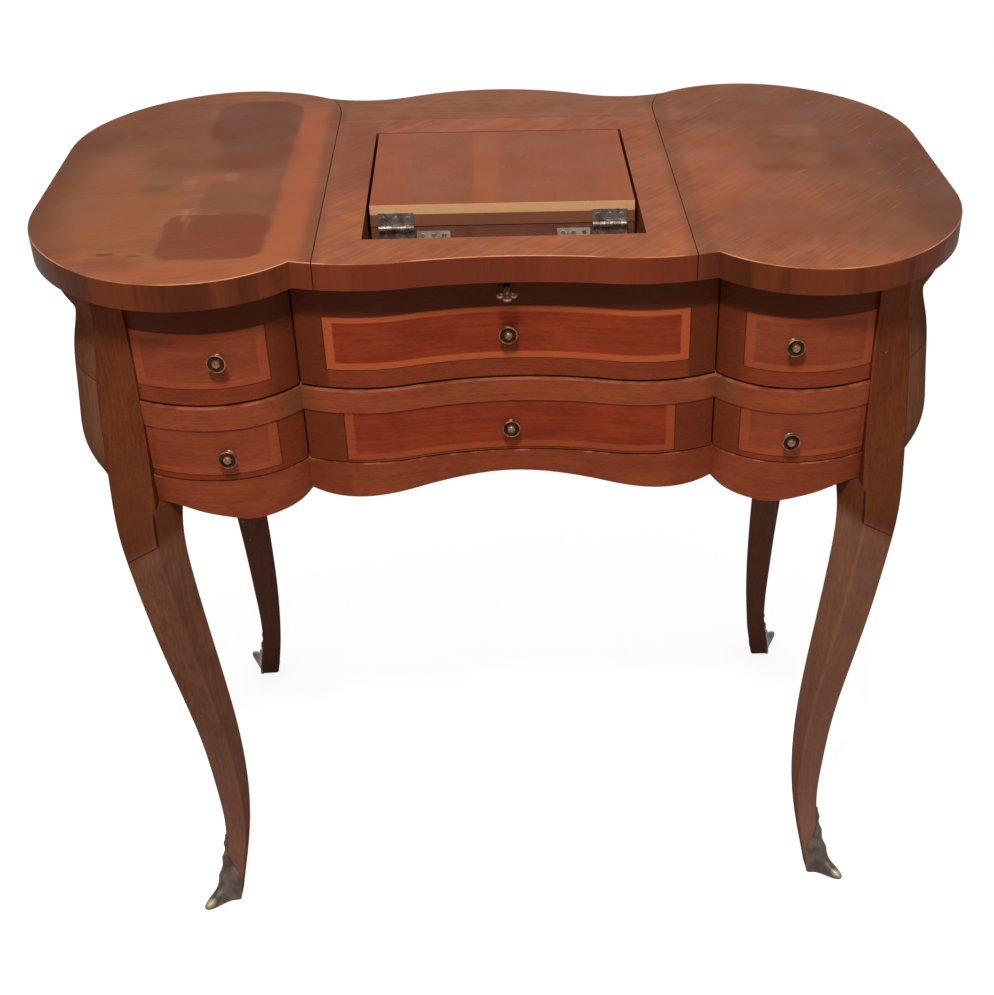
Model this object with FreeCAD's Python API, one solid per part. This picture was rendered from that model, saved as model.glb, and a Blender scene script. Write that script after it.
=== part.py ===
import FreeCAD, Part
import math
import os

# A free-standing dressing table with a lobed top, two swivelling side lids,
# a tilting mirror under a folding centre panel, four drawers and a key.
# Millimetres; +Z up, the front faces -Y, the origin is on the floor
# under the middle of the top.

os.makedirs("parts", exist_ok=True)

# Heights above the floor
TOP_HIGH = 741.0
TOP_LOW = 717.0
CASE_HIGH = 716.5
FRONT_1_HIGH = 716.0
FRONT_1_LOW = 616.5
LEDGE_HIGH = 613.5
LEDGE_LOW = 591.5
FRONT_2_HIGH = 590.5
FRONT_2_LOW = 541.0
APRON_HIGH = 539.5
APRON_LOW = 496.0
SIDE_LOW = 511.0
BACK_LOW = 522.0
POST_LOW = 512.0
KNOB_1_HIGH = 660.0
KNOB_2_HIGH = 567.0
KEY_HIGH = 702.0

# Outline of the top and of the case, right half.
# side: distance of the straight flank from the middle
# lobe: flank end y, corner radius, turn angle, front radius
# middle: y on the centre line, radius, turn angle, shoulder radius, convex or not
TOP_SHAPE = {
    "side": 421.0,
    "front_lobe": (83.5, 192.0, 51.9, 119.0),
    "front_middle": (215.5, 480.0, 10.4, 189.0, False),
    "rear_lobe": (82.0, 187.0, 63.0, 127.0),
    "rear_middle": (256.0, 205.0, 26.7, 100.0, True),
}
CASE_SHAPE = {
    "side": 393.0,
    "front_lobe": (99.0, 131.0, 88.0, 92.0),
    "front_middle": (187.5, 332.0, 15.7, 137.5, False),
    "rear_lobe": (99.0, 131.0, 88.0, 92.0),
    "rear_middle": (223.5, 121.5, 25.3, 200.0, True),
}

# How far the side panel swells out, by height
SWELL = [
    (CASE_HIGH, 0.0),
    (680.0, 1.5),
    (640.0, 5.0),
    (600.0, 10.5),
    (565.0, 14.0),
    (545.0, 15.0),
    (528.0, 11.0),
    (SIDE_LOW, 4.0),
]
SWELL_ANGLE = 40.0

# Boards and gaps
PANEL = 10.0
FRONT_BACK_Y = -173.0
BACK_START_Y = 120.0
BACK_JOINT_X = 188.0
HOLLOW_RADIUS = 72.0
HOLLOW_CENTRE = (263.3, -137.9)
FRONT_END_X = 325.4
CENTRE_END_X = 186.8
SIDE_START_X = 188.4
POST_FACE_X = 326.0
LEDGE_PROUD = 1.5
TOP_ROUND = 1.6
ROUND_STEPS = 3
PARTITION_IN_X = 182.0
PARTITION_OUT_X = 194.0
DUST_BOARD = 10.0
BOTTOM_BOARD = 8.0
BOARD_SPARE = 16.0

# Swivelling lids
SEAM_X = 163.0
SEAM_GAP = 0.8
SEAM_REACH = 400.0
PIVOT_X = 302.0
PIVOT_Y = 172.0
PIVOT_RADIUS = 5.0
PIVOT_HOLE = 5.4
PIVOT_TOP = 734.0
PIVOT_FOOT = 690.0
PIVOT_SEAT = 10.0
# Block under each pin: its inner face, and its front and rear
PIVOT_BLOCK = (286.0, 152.0, 190.0)
SLACK = 0.6

# Mirror well and its moving panels
WELL_X = 123.5
WELL_FRONT = -172.5
WELL_BACK = 112.0
WELL_FLOOR = 694.0
WELL_WALL = 6.0
WELL_WALL_FRONT = -166.0
WELL_BOTTOM = 688.0
BEHIND_FRONT_Y = FRONT_BACK_Y + 1
LEAF_X = 120.6
LEAF_FRONT = -92.5
LEAF_BACK = 110.5
LID_LOW = 721.5
FRAME_HIGH = 720.5
FRAME_LOW = 701.0
GLASS_LOW = 717.0
LID_AXIS = (-96.0, 721.0)
TILT_AXIS = (-96.0, 704.0)
KNUCKLE = 2.6
KNUCKLES = 5
KNUCKLE_GAP = 0.25
PIN = 0.8
PIN_HOLE = 1.2
LEAF_PLATE = 1.4
LEAF_LENGTH = 20.0
OUTER_HINGE_X = (81.5, 113.5)
INNER_HINGE_X = (49.0, 79.5)
# Hinge leaves that show before the cover: their lower and upper edges
COVER_LEAF = (723.8, 734.0)
FRAME_LEAF = (709.5, 718.2)
TILT_LEAF = (707.0, 716.5)
GLASS_X = 104.0
GLASS_Y = 84.0
GLASS_THICK = 3.0
GLASS_PLAY = 0.5
PROP_REACH = 88.0
PROP_THICK = 5.0
PROP_WIDE = 20.0
PROP_SLOT = 17.0
PROP_EYE = 2.9
PROP_HOLE = 1.5
PROP_PIN = 1.2
TRACK_HIGH = 700.6
TRACK_X = 32.0
TRACK_FRONT = -76.0

# Drawers
BOX_BACK_Y = 150.0
BOX_SIDE = 8.0
BOX_FLOOR = 4.0
CENTRE_BOX_X = 181.4
SIDE_BOX_X = (194.6, 318.0)
BOX_1 = (614.0, 680.0)
BOX_2 = (540.0, 586.0)
GUIDE_HIGH = 16.0
KNOB_X_1 = 250.0
KNOB_X_2 = 253.0
KEY_HOLE = 2.6
SCUTCHEON_RADIUS = 6.5
SCUTCHEON_PROUD = 1.0
SCUTCHEON_DEEP = 0.5
LOCK_X = 14.0
LOCK_LOW = 11.0
LOCK_THICK = 4.0
# Key: lengths behind and before the front, and the three rings of its bow (x, distance from the front)
KEY_RADIUS = 1.9
KEY_SHAFT = (9.5, 19.0)
KEY_COLLAR = (7.0, 9.0)
KEY_LOBES = ((-4.9, 21.5), (4.9, 21.5), (0.0, 28.0))
KEY_LOBE_RADIUS = 4.6
KEY_THICK = 3.0
# Profile of a turned knob with a cupped head: radius and distance from the front
KNOB_PROFILE = [
    (0.0, -4.0),
    (2.6, -4.0),
    (2.6, 0.0),
    (5.2, 0.0),
    (5.2, 1.4),
    (2.9, 3.4),
    (2.9, 6.6),
    (8.0, 10.0),
    (8.6, 11.8),
    (7.9, 13.4),
    (6.3, 14.0),
    (4.6, 12.4),
    (0.0, 11.4),
]

# Legs: height, centre x, centre y, width of the square section, and the angle
# at which its front face looks out to the side, 90 degrees being straight ahead
LEG_CORNER = 3.0
LEG_LINE = [
    (716.5, 333.0, -187.0, 44.0, 60.0),
    (665.0, 332.3, -188.7, 41.0, 60.0),
    (613.0, 334.1, -183.0, 50.0, 60.0),
    (565.0, 334.5, -185.6, 54.0, 60.0),
    (520.0, 337.2, -199.8, 49.0, 61.0),
    (490.0, 338.2, -211.5, 44.5, 62.0),
    (430.0, 335.6, -212.6, 40.5, 65.0),
    (360.0, 330.0, -204.8, 38.3, 68.0),
    (280.0, 322.7, -193.3, 34.6, 70.0),
    (200.0, 316.4, -182.9, 30.2, 72.0),
    (130.0, 314.4, -179.2, 26.4, 76.0),
    (80.0, 315.8, -181.9, 22.8, 82.0),
    (40.0, 321.5, -194.5, 22.6, 86.0),
    (1.0, 329.0, -207.5, 22.5, 88.0),
]
# Bronze shoe: its upper edge, and how far it stands out from the leg
SHOE_HIGH = 74.0
SHOE_THICK = 1.6
# Toe of the shoe: the middle of its tip, and the instep that it grows from
TOE = (348.0, -232.6, 6.0)
TOE_RADIUS = 6.0
INSTEP = (331.0, -210.0, 12.5)
INSTEP_RADIUS = 12.0

# Lower edge of the apron: from the middle to the cusp, and from there to the post
ARCH = [(0, 518), (51, 514.5), (101, 508), (140, 504), (170, 505), (187, 508.5)]
SCOOP = [
    (187, 508.5),
    (197, 502.5),
    (215, 499),
    (240, 498),
    (262, 502.5),
    (284, 507),
    (306, 512.4),
    (326, 512.6),
]

# Size of the blocks that cut pieces to shape, larger than any piece of the case
CUTTER = 160.0
FAR = 600.0


def vec(x, y, z=0.0):
    return FreeCAD.Vector(x, y, z)


def box(x0, x1, y0, y1, z0, z1):
    return Part.makeBox(x1 - x0, y1 - y0, z1 - z0, vec(x0, y0, z0))


def rod_x(x0, x1, y, z, radius):
    return Part.makeCylinder(radius, x1 - x0, vec(x0, y, z), vec(1, 0, 0))


def rod_y(y0, y1, x, z, radius):
    return Part.makeCylinder(radius, y1 - y0, vec(x, y0, z), vec(0, 1, 0))


def rod_z(z0, z1, x, y, radius):
    return Part.makeCylinder(radius, z1 - z0, vec(x, y, z0), vec(0, 0, 1))


def mirrored(shape):
    return shape.mirror(vec(0, 0), vec(1, 0))


def rear(shape):
    return shape.mirror(vec(0, 0), vec(0, 1))


def largest(shape):
    return max(shape.Solids, key=lambda solid: solid.Volume)


def save(name, *shapes):
    solids = [solid for shape in shapes for solid in shape.Solids]
    result = solids[0] if len(solids) == 1 else Part.makeCompound(solids)
    result.exportStep("parts/" + name + ".step")


# Outlines: every arc is kept as (centre, start, end) with y counted outward


def on_circle(centre, radius, toward):
    reach = math.hypot(toward[0] - centre[0], toward[1] - centre[1])
    share = radius / reach
    return (centre[0] + (toward[0] - centre[0]) * share, centre[1] + (toward[1] - centre[1]) * share)


def crossing(centre_a, radius_a, centre_b, radius_b):
    dx = centre_b[0] - centre_a[0]
    dy = centre_b[1] - centre_a[1]
    apart = math.hypot(dx, dy)
    along = (apart ** 2 + radius_a ** 2 - radius_b ** 2) / (2 * apart)
    aside = math.sqrt(radius_a ** 2 - along ** 2)
    base = (centre_a[0] + dx * along / apart, centre_a[1] + dy * along / apart)
    first = (base[0] - dy * aside / apart, base[1] + dx * aside / apart)
    second = (base[0] + dy * aside / apart, base[1] - dx * aside / apart)
    return min(first, second, key=lambda point: point[0])


def quarter(side, lobe, middle, grow):
    flank_y, corner_radius, turn, lobe_radius = lobe
    turn = math.radians(turn)
    corner = (side - corner_radius, flank_y)
    step = corner_radius - lobe_radius
    round_centre = (corner[0] + step * math.cos(turn), corner[1] + step * math.sin(turn))
    reach, radius, swing, shoulder, convex = middle
    swing = math.radians(swing)
    way = 1 if convex else -1
    middle_centre = (0.0, reach - way * radius)
    span = radius + shoulder
    shoulder_centre = (span * math.sin(swing), middle_centre[1] + way * span * math.cos(swing))
    radius += way * grow
    shoulder -= way * grow
    start = (0.0, middle_centre[1] + way * radius)
    join = on_circle(middle_centre, radius, shoulder_centre)
    cusp = crossing(shoulder_centre, shoulder, round_centre, lobe_radius + grow)
    switch = on_circle(corner, corner_radius + grow, (corner[0] + math.cos(turn), corner[1] + math.sin(turn)))
    end = (side + grow, flank_y)
    return [
        (middle_centre, start, join),
        (shoulder_centre, join, cusp),
        (round_centre, cusp, switch),
        (corner, switch, end),
    ]


def arc_edge(centre, start, end, flip_x, flip_y, z):
    radius = math.hypot(start[0] - centre[0], start[1] - centre[1])
    half = ((start[0] + end[0]) / 2, (start[1] + end[1]) / 2)
    top = on_circle(centre, radius, half)
    points = [vec(p[0] * flip_x, p[1] * flip_y, z) for p in (start, top, end)]
    return Part.Arc(*points).toShape()


def outline(shape, grow, z):
    side = shape["side"]
    edges = []
    for flip_x in (1, -1):
        ends = []
        for flip_y, lobe, middle in ((-1, "front_lobe", "front_middle"), (1, "rear_lobe", "rear_middle")):
            arcs = quarter(side, shape[lobe], shape[middle], grow)
            edges += [arc_edge(*arc, flip_x, flip_y, z) for arc in arcs]
            ends.append(vec(flip_x * arcs[-1][2][0], flip_y * arcs[-1][2][1], z))
        edges.append(Part.makeLine(ends[0], ends[1]))
    return Part.Wire(Part.__sortEdges__(edges))


def slab(shape, grow, z0, z1):
    return Part.Face(outline(shape, grow, z0)).extrude(vec(0, 0, z1 - z0))


# Legs and their bronze shoes


def facing(turn):
    angle = math.radians(turn)
    return vec(math.cos(angle), -math.sin(angle))


def leg_section(z, x, y, width, turn):
    out = facing(turn)
    along = vec(-out.y, out.x)
    middle = vec(x, y, z)
    half = width / 2
    inner = half - LEG_CORNER
    cut = LEG_CORNER * (1 - math.sqrt(0.5))
    edges = []
    for side in range(4):
        ahead = [out, along, out * -1, along * -1][side]
        beside = [along, out * -1, along * -1, out][side]
        a = middle + ahead * half - beside * inner
        b = middle + ahead * half + beside * inner
        c = middle + (ahead + beside) * (half - cut)
        d = middle + ahead * inner + beside * half
        edges.append(Part.makeLine(a, b))
        edges.append(Part.Arc(b, c, d).toShape())
    return Part.Wire(edges)


def leg_loft(rows):
    return Part.makeLoft([leg_section(*row) for row in reversed(rows)], True, False)


def make_leg():
    return leg_loft(LEG_LINE).cut(box(0, POST_FACE_X, -FAR, 0, POST_LOW, FAR + POST_LOW))


def in_front_of_leg():
    # the space before the front face of the leg, where no board of the case may show,
    # and a little of the leg's rounded edge
    rows = []
    for z, x, y, width, turn in LEG_LINE:
        middle = vec(x, y) + facing(turn) * ((width + CUTTER) / 2 - LEG_CORNER / 4)
        rows.append((z, middle.x, middle.y, CUTTER, turn))
    return leg_loft(rows)


def make_shoe(leg):
    rows = [(z, x, y, width + 2 * SHOE_THICK, turn) for z, x, y, width, turn in LEG_LINE[:-1]]
    z, x, y, width, turn = LEG_LINE[-1]
    rows.append((0.0, x, y, width + 2 * SHOE_THICK, turn))
    sleeve = leg_loft(rows).common(box(0, FAR, -FAR, 0, 0, SHOE_HIGH))
    tip = vec(*TOE)
    start = vec(*INSTEP)
    toe = Part.makeSphere(TOE_RADIUS, tip)
    neck = Part.makeCone(INSTEP_RADIUS, TOE_RADIUS, (tip - start).Length, start, tip - start)
    under_floor = box(0, FAR, -FAR, 0, -FAR, 0)
    return largest(sleeve.fuse([toe, neck]).cut(under_floor).cut(leg))


# Case


def front_piece(x0, x1, z0, z1, grow=0.0):
    body = slab(CASE_SHAPE, grow, z0, z1).common(box(x0, x1, -FAR, FRONT_BACK_Y, z0, z1))
    for side in (-1, 1):
        body = body.cut(rod_z(z0, z1, side * HOLLOW_CENTRE[0], HOLLOW_CENTRE[1], HOLLOW_RADIUS))
    return body


def curve_at(points, y):
    curve = Part.BSplineCurve()
    curve.interpolate([vec(x, y, z) for x, z in points])
    return curve.toShape()


def make_apron():
    body = front_piece(-POST_FACE_X, POST_FACE_X, APRON_LOW, APRON_HIGH)
    below = APRON_LOW - BOARD_SPARE
    corners = [SCOOP[-1], (SCOOP[-1][0], below), (ARCH[0][0], below), ARCH[0]]
    edges = [curve_at(ARCH, -FAR), curve_at(SCOOP, -FAR)]
    for a, b in zip(corners, corners[1:]):
        edges.append(Part.makeLine(vec(a[0], -FAR, a[1]), vec(b[0], -FAR, b[1])))
    cutter = Part.Face(Part.Wire(edges)).extrude(vec(0, FAR, 0))
    return body.cut(cutter).cut(mirrored(cutter))


def swell_section(z, swell):
    # the flank of the case, with the start of the round corner at each end
    corner_x = CASE_SHAPE["side"] - CASE_SHAPE["front_lobe"][1]
    flank = CASE_SHAPE["front_lobe"][0]
    angle = math.radians(SWELL_ANGLE)
    wire = []
    for reach in (swell, -PANEL):
        radius = CASE_SHAPE["front_lobe"][1] + reach
        side = corner_x + radius
        tip = (corner_x + radius * math.sin(angle), flank + radius * math.cos(angle))
        low = arc_edge((corner_x, flank), tip, (side, flank), 1, -1, z)
        high = arc_edge((corner_x, flank), tip, (side, flank), 1, 1, z)
        straight = Part.makeLine(vec(side, -flank, z), vec(side, flank, z))
        wire.append((low, straight, high, vec(tip[0], -tip[1], z), vec(tip[0], tip[1], z)))
    outer, inner = wire
    edges = [outer[0], outer[1], outer[2], Part.makeLine(outer[4], inner[4])]
    edges += [inner[2], inner[1], inner[0], Part.makeLine(inner[3], outer[3])]
    return Part.Wire(Part.__sortEdges__(edges))


def make_side_panel(leg):
    body = Part.makeLoft([swell_section(*row) for row in reversed(SWELL)], True, False)
    for cutter in (leg, in_front_of_leg()):
        body = body.cut(cutter).cut(rear(cutter))
    return largest(body)


def make_back_panel(x0, x1, leg):
    ring = slab(CASE_SHAPE, 0, BACK_LOW, CASE_HIGH).cut(slab(CASE_SHAPE, -PANEL, BACK_LOW, CASE_HIGH))
    piece = ring.common(box(x0, x1, BACK_START_Y, FAR, BACK_LOW, CASE_HIGH))
    return largest(piece.cut(rear(leg)))


def make_partition():
    body = slab(CASE_SHAPE, -PANEL, APRON_HIGH, CASE_HIGH)
    return body.common(box(PARTITION_IN_X, PARTITION_OUT_X, FRONT_BACK_Y, FAR, APRON_HIGH, CASE_HIGH))


def make_floor(x0, x1, z0, z1, leg):
    body = slab(CASE_SHAPE, -PANEL, z0, z1).common(box(x0, x1, FRONT_BACK_Y, FAR, z0, z1))
    for post in (leg, rear(leg), mirrored(leg), mirrored(rear(leg))):
        body = body.cut(post)
    return largest(body)


# Top


def seam_cutter(gap):
    straight = box(SEAM_X + gap, FAR, -SEAM_REACH, PIVOT_Y, TOP_LOW - 1, TOP_HIGH + 1)
    swing = rod_z(TOP_LOW - 1, TOP_HIGH + 1, PIVOT_X, PIVOT_Y, PIVOT_X - SEAM_X - gap)
    beyond = box(PIVOT_X, FAR, PIVOT_Y, SEAM_REACH, TOP_LOW - 1, TOP_HIGH + 1)
    return straight.fuse([swing, beyond])


def rounded_top():
    # the slab that the three parts of the top are cut from: its upper rim is rounded in narrow bevels
    level = TOP_HIGH - TOP_ROUND
    wires = [outline(TOP_SHAPE, 0, TOP_LOW)]
    for step in range(ROUND_STEPS + 1):
        angle = math.radians(90 * step / ROUND_STEPS)
        inward = TOP_ROUND * (1 - math.cos(angle))
        wires.append(outline(TOP_SHAPE, -inward, level + TOP_ROUND * math.sin(angle)))
    return Part.makeLoft(wires, True, True)


def make_lid(top):
    body = top.common(seam_cutter(SEAM_GAP / 2))
    return body.cut(rod_z(TOP_LOW, PIVOT_TOP + SLACK, PIVOT_X, PIVOT_Y, PIVOT_HOLE))


def make_centre_top(top):
    cutter = seam_cutter(-SEAM_GAP / 2)
    body = top.cut(cutter).cut(mirrored(cutter))
    return body.cut(box(-WELL_X, WELL_X, WELL_FRONT, WELL_BACK, TOP_LOW, TOP_HIGH))


# Mirror well


def well_walls():
    edge = WELL_X + WELL_WALL
    side = box(WELL_X, edge, BEHIND_FRONT_Y, WELL_BACK + WELL_WALL, WELL_FLOOR, TOP_LOW)
    front = box(-WELL_X, WELL_X, BEHIND_FRONT_Y, WELL_WALL_FRONT, WELL_FLOOR, TOP_LOW)
    back = box(-WELL_X, WELL_X, WELL_BACK, WELL_BACK + WELL_WALL, WELL_FLOOR, TOP_LOW)
    return [side, mirrored(side), front, back]


def glass_middle():
    return (LEAF_FRONT + LEAF_BACK) / 2


def make_mirror_frame():
    body = box(-LEAF_X, LEAF_X, LEAF_FRONT, LEAF_BACK, FRAME_LOW, FRAME_HIGH)
    middle = glass_middle()
    pocket = box(-GLASS_X, GLASS_X, middle - GLASS_Y, middle + GLASS_Y, GLASS_LOW, FRAME_HIGH)
    pivot_y = TILT_AXIS[0] + PROP_REACH
    slot = box(-PROP_SLOT, PROP_SLOT, pivot_y - 6, pivot_y + PROP_REACH + 8, FRAME_LOW, TILT_AXIS[1] + 4)
    return body.cut(pocket).cut(slot)


def make_glass():
    x = GLASS_X - GLASS_PLAY
    reach = GLASS_Y - GLASS_PLAY
    return box(-x, x, glass_middle() - reach, glass_middle() + reach, GLASS_LOW, GLASS_LOW + GLASS_THICK)


def leaf_on_face(span, z0, z1):
    return box(span[0], span[1], LEAF_FRONT - LEAF_PLATE, LEAF_FRONT, z0, z1)


def knuckle_spans(span, which):
    step = (span[1] - span[0]) / KNUCKLES
    starts = [span[0] + index * step for index in range(which, KNUCKLES, 2)]
    return [(start + KNUCKLE_GAP, start + step - KNUCKLE_GAP) for start in starts]


def hinge_pin(span, axis):
    return rod_x(span[0], span[1], axis[0], axis[1], PIN)


def hinge_half(span, axis, which, plate_z):
    # a leaf on the front face of a board, with its share of the knuckles
    web_low = min(plate_z[0], axis[1])
    web_high = max(plate_z[1], axis[1])
    result = leaf_on_face(span, *plate_z)
    for x0, x1 in knuckle_spans(span, which):
        web = box(x0, x1, LEAF_FRONT - LEAF_PLATE, LEAF_FRONT - 0.1, web_low, web_high)
        result = result.fuse([web, rod_x(x0, x1, axis[0], axis[1], KNUCKLE)])
    return result.cut(rod_x(span[0] - 1, span[1] + 1, axis[0], axis[1], PIN_HOLE))


def fixed_tilt_leaf():
    # the leaf on the floor of the well, with its pin
    y, z = TILT_AXIS
    start, end = INNER_HINGE_X
    result = box(start, end, y - LEAF_LENGTH, y - 1, WELL_FLOOR, WELL_FLOOR + LEAF_PLATE)
    for x0, x1 in knuckle_spans(INNER_HINGE_X, 1):
        web = box(x0, x1, y - PIN_HOLE, y + PIN_HOLE, WELL_FLOOR, z)
        result = result.fuse([web, rod_x(x0, x1, y, z, KNUCKLE)])
    return result.fuse(hinge_pin(INNER_HINGE_X, TILT_AXIS))


def both_sides(shape):
    return [shape, mirrored(shape)]


def make_prop():
    y = TILT_AXIS[0] + PROP_REACH
    z = TILT_AXIS[1]
    half = PROP_THICK / 2
    body = box(-PROP_WIDE / 2, PROP_WIDE / 2, y, y + PROP_REACH, z - half, z + half)
    body = body.fuse(rod_x(-PROP_WIDE / 2, PROP_WIDE / 2, y + PROP_REACH, z, half))
    body = body.fuse(rod_x(-PROP_WIDE / 2, PROP_WIDE / 2, y, z, PROP_EYE))
    return body.cut(rod_x(-PROP_WIDE, PROP_WIDE, y, z, PROP_HOLE))


def make_prop_bracket():
    y = TILT_AXIS[0] + PROP_REACH
    z = TILT_AXIS[1]
    pin = rod_x(-PROP_SLOT, PROP_SLOT, y, z, PROP_PIN)
    ears = box(PROP_WIDE / 2 + 1, PROP_SLOT, y - 4, y + 4, z - KNUCKLE, z + 4)
    return pin.fuse([ears, mirrored(ears)])


# Drawers


def drawer_box(x0, x1, z0, z1):
    left = box(x0, x0 + BOX_SIDE, FRONT_BACK_Y, BOX_BACK_Y, z0, z1)
    right = box(x1 - BOX_SIDE, x1, FRONT_BACK_Y, BOX_BACK_Y, z0, z1)
    back = box(x0 + BOX_SIDE, x1 - BOX_SIDE, BOX_BACK_Y - BOX_SIDE, BOX_BACK_Y, z0, z1)
    return [left, right, back]


def drawer_floor(x0, x1, z0):
    edge = BOX_SIDE
    return box(x0 + edge, x1 - edge, FRONT_BACK_Y, BOX_BACK_Y - edge, z0 + 2, z0 + 2 + BOX_FLOOR)


def front_y(x):
    middle_x, middle_y = HOLLOW_CENTRE
    radius = CASE_SHAPE["front_lobe"][3]
    if abs(x) < SIDE_START_X:
        return -CASE_SHAPE["front_middle"][0]
    return middle_y - math.sqrt(radius ** 2 - (abs(x) - middle_x) ** 2)


def make_knob(x, z):
    y = front_y(x)
    points = [vec(x + radius, y - out, z) for radius, out in KNOB_PROFILE]
    points.append(points[0])
    face = Part.Face(Part.makePolygon(points))
    return face.revolve(vec(x, y, z), vec(0, 1, 0), 360)


def make_key():
    y = front_y(0)
    shaft = rod_y(y - KEY_SHAFT[1], y + KEY_SHAFT[0], 0, KEY_HIGH, KEY_RADIUS)
    collar = rod_y(y - KEY_COLLAR[1], y - KEY_COLLAR[0], 0, KEY_HIGH, KEY_RADIUS + 1)
    lobes = []
    for x, out in KEY_LOBES:
        ring = rod_z(KEY_HIGH - KEY_THICK / 2, KEY_HIGH + KEY_THICK / 2, x, y - out, KEY_LOBE_RADIUS)
        hole = rod_z(KEY_HIGH - KEY_THICK, KEY_HIGH + KEY_THICK, x, y - out, KEY_RADIUS)
        lobes.append(ring.cut(hole))
    return shaft.fuse([collar] + lobes)


def make_lock():
    # a plate behind the front, and a round scutcheon let into its face
    y = front_y(0)
    back = FRONT_BACK_Y - LOCK_THICK
    plate = box(-LOCK_X, LOCK_X, back, FRONT_BACK_Y, KEY_HIGH - LOCK_LOW, KEY_HIGH + LOCK_LOW)
    scutcheon = rod_y(y - SCUTCHEON_PROUD, y + SCUTCHEON_DEEP, 0, KEY_HIGH, SCUTCHEON_RADIUS)
    hole = rod_y(-FAR, 0, 0, KEY_HIGH, KEY_HOLE)
    return [plate.cut(hole), scutcheon.cut(hole)]


def make_centre_front():
    body = front_piece(-CENTRE_END_X, CENTRE_END_X, FRONT_1_LOW, FRONT_1_HIGH)
    for cutter in [rod_y(-FAR, 0, 0, KEY_HIGH, KEY_HOLE), make_knob(0, KNOB_1_HIGH)] + make_lock():
        body = body.cut(cutter)
    return body


def build_case(leg):
    shoe = make_shoe(leg)
    for name, part in (("leg", leg), ("sabot", shoe)):
        save(name + "_front_right", part)
        save(name + "_front_left", mirrored(part))
        save(name + "_rear_right", rear(part))
        save(name + "_rear_left", mirrored(rear(part)))
    side = make_side_panel(leg)
    save("side_panel_right", side)
    save("side_panel_left", mirrored(side))
    back = make_back_panel(BACK_JOINT_X, POST_FACE_X, leg)
    save("back_panel_right", back)
    save("back_panel_left", mirrored(back))
    save("back_panel_center", make_back_panel(-BACK_JOINT_X, BACK_JOINT_X, leg))
    partition = make_partition()
    save("partition_right", partition)
    save("partition_left", mirrored(partition))
    front = front_piece(SIDE_START_X, POST_FACE_X, FRONT_1_LOW, CASE_HIGH)
    knob = make_knob(KNOB_X_1, KNOB_1_HIGH)
    front = front.cut(knob)
    save("false_front_right", front)
    save("false_front_left", mirrored(front))
    save("false_front_knobs", *both_sides(knob))
    save("ledge_rail", front_piece(-POST_FACE_X, POST_FACE_X, LEDGE_LOW, LEDGE_HIGH, LEDGE_PROUD))
    save("apron", make_apron())
    wide = CASE_SHAPE["side"]
    well = make_floor(PARTITION_OUT_X, wide, LEDGE_HIGH - DUST_BOARD, LEDGE_HIGH, leg)
    save("well_floor_right", well)
    save("well_floor_left", mirrored(well))
    dust = make_floor(-PARTITION_IN_X, PARTITION_IN_X, LEDGE_HIGH - DUST_BOARD, LEDGE_HIGH, leg)
    save("dust_board", dust)
    save("bottom_board", make_floor(-wide, wide, APRON_HIGH - BOTTOM_BOARD, APRON_HIGH, leg))
    guide_high = APRON_HIGH + GUIDE_HIGH
    guide = box(SIDE_BOX_X[1] + SLACK, POST_FACE_X, BEHIND_FRONT_Y, BOX_BACK_Y, APRON_HIGH, guide_high)
    save("drawer_guides", *both_sides(guide))


def build_top():
    top = rounded_top()
    save("center_top", make_centre_top(top))
    lid = make_lid(top)
    save("lid_right", lid)
    save("lid_left", mirrored(lid))
    pin = rod_z(PIVOT_FOOT, PIVOT_TOP, PIVOT_X, PIVOT_Y, PIVOT_RADIUS)
    save("lid_pins", *both_sides(pin))
    x0, y0, y1 = PIVOT_BLOCK
    block = box(x0, POST_FACE_X, y0, y1, PIVOT_FOOT - PIVOT_SEAT, CASE_HIGH)
    save("pivot_blocks", *both_sides(block.cut(pin)))


def build_mirror():
    edge = WELL_X + WELL_WALL
    floor = box(-edge, edge, BEHIND_FRONT_Y, WELL_BACK + WELL_WALL, WELL_BOTTOM, WELL_FLOOR)
    save("mirror_well_floor", floor)
    save("mirror_well_walls", *well_walls())
    save("prop_track", box(-TRACK_X, TRACK_X, TRACK_FRONT, WELL_BACK, WELL_FLOOR, TRACK_HIGH))
    save("mirror_lid", box(-LEAF_X, LEAF_X, LEAF_FRONT, LEAF_BACK, LID_LOW, TOP_HIGH))
    save("mirror_frame", make_mirror_frame())
    save("mirror_glass", make_glass())
    save("lid_hinge_upper", *both_sides(hinge_half(OUTER_HINGE_X, LID_AXIS, 0, COVER_LEAF)))
    lower = hinge_half(OUTER_HINGE_X, LID_AXIS, 1, FRAME_LEAF)
    save("lid_hinge_lower", *both_sides(lower.fuse(hinge_pin(OUTER_HINGE_X, LID_AXIS))))
    save("tilt_hinge_upper", *both_sides(hinge_half(INNER_HINGE_X, TILT_AXIS, 0, TILT_LEAF)))
    save("tilt_hinge_lower", *both_sides(fixed_tilt_leaf()))
    save("prop_strut", make_prop())
    save("prop_bracket", make_prop_bracket())


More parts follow.
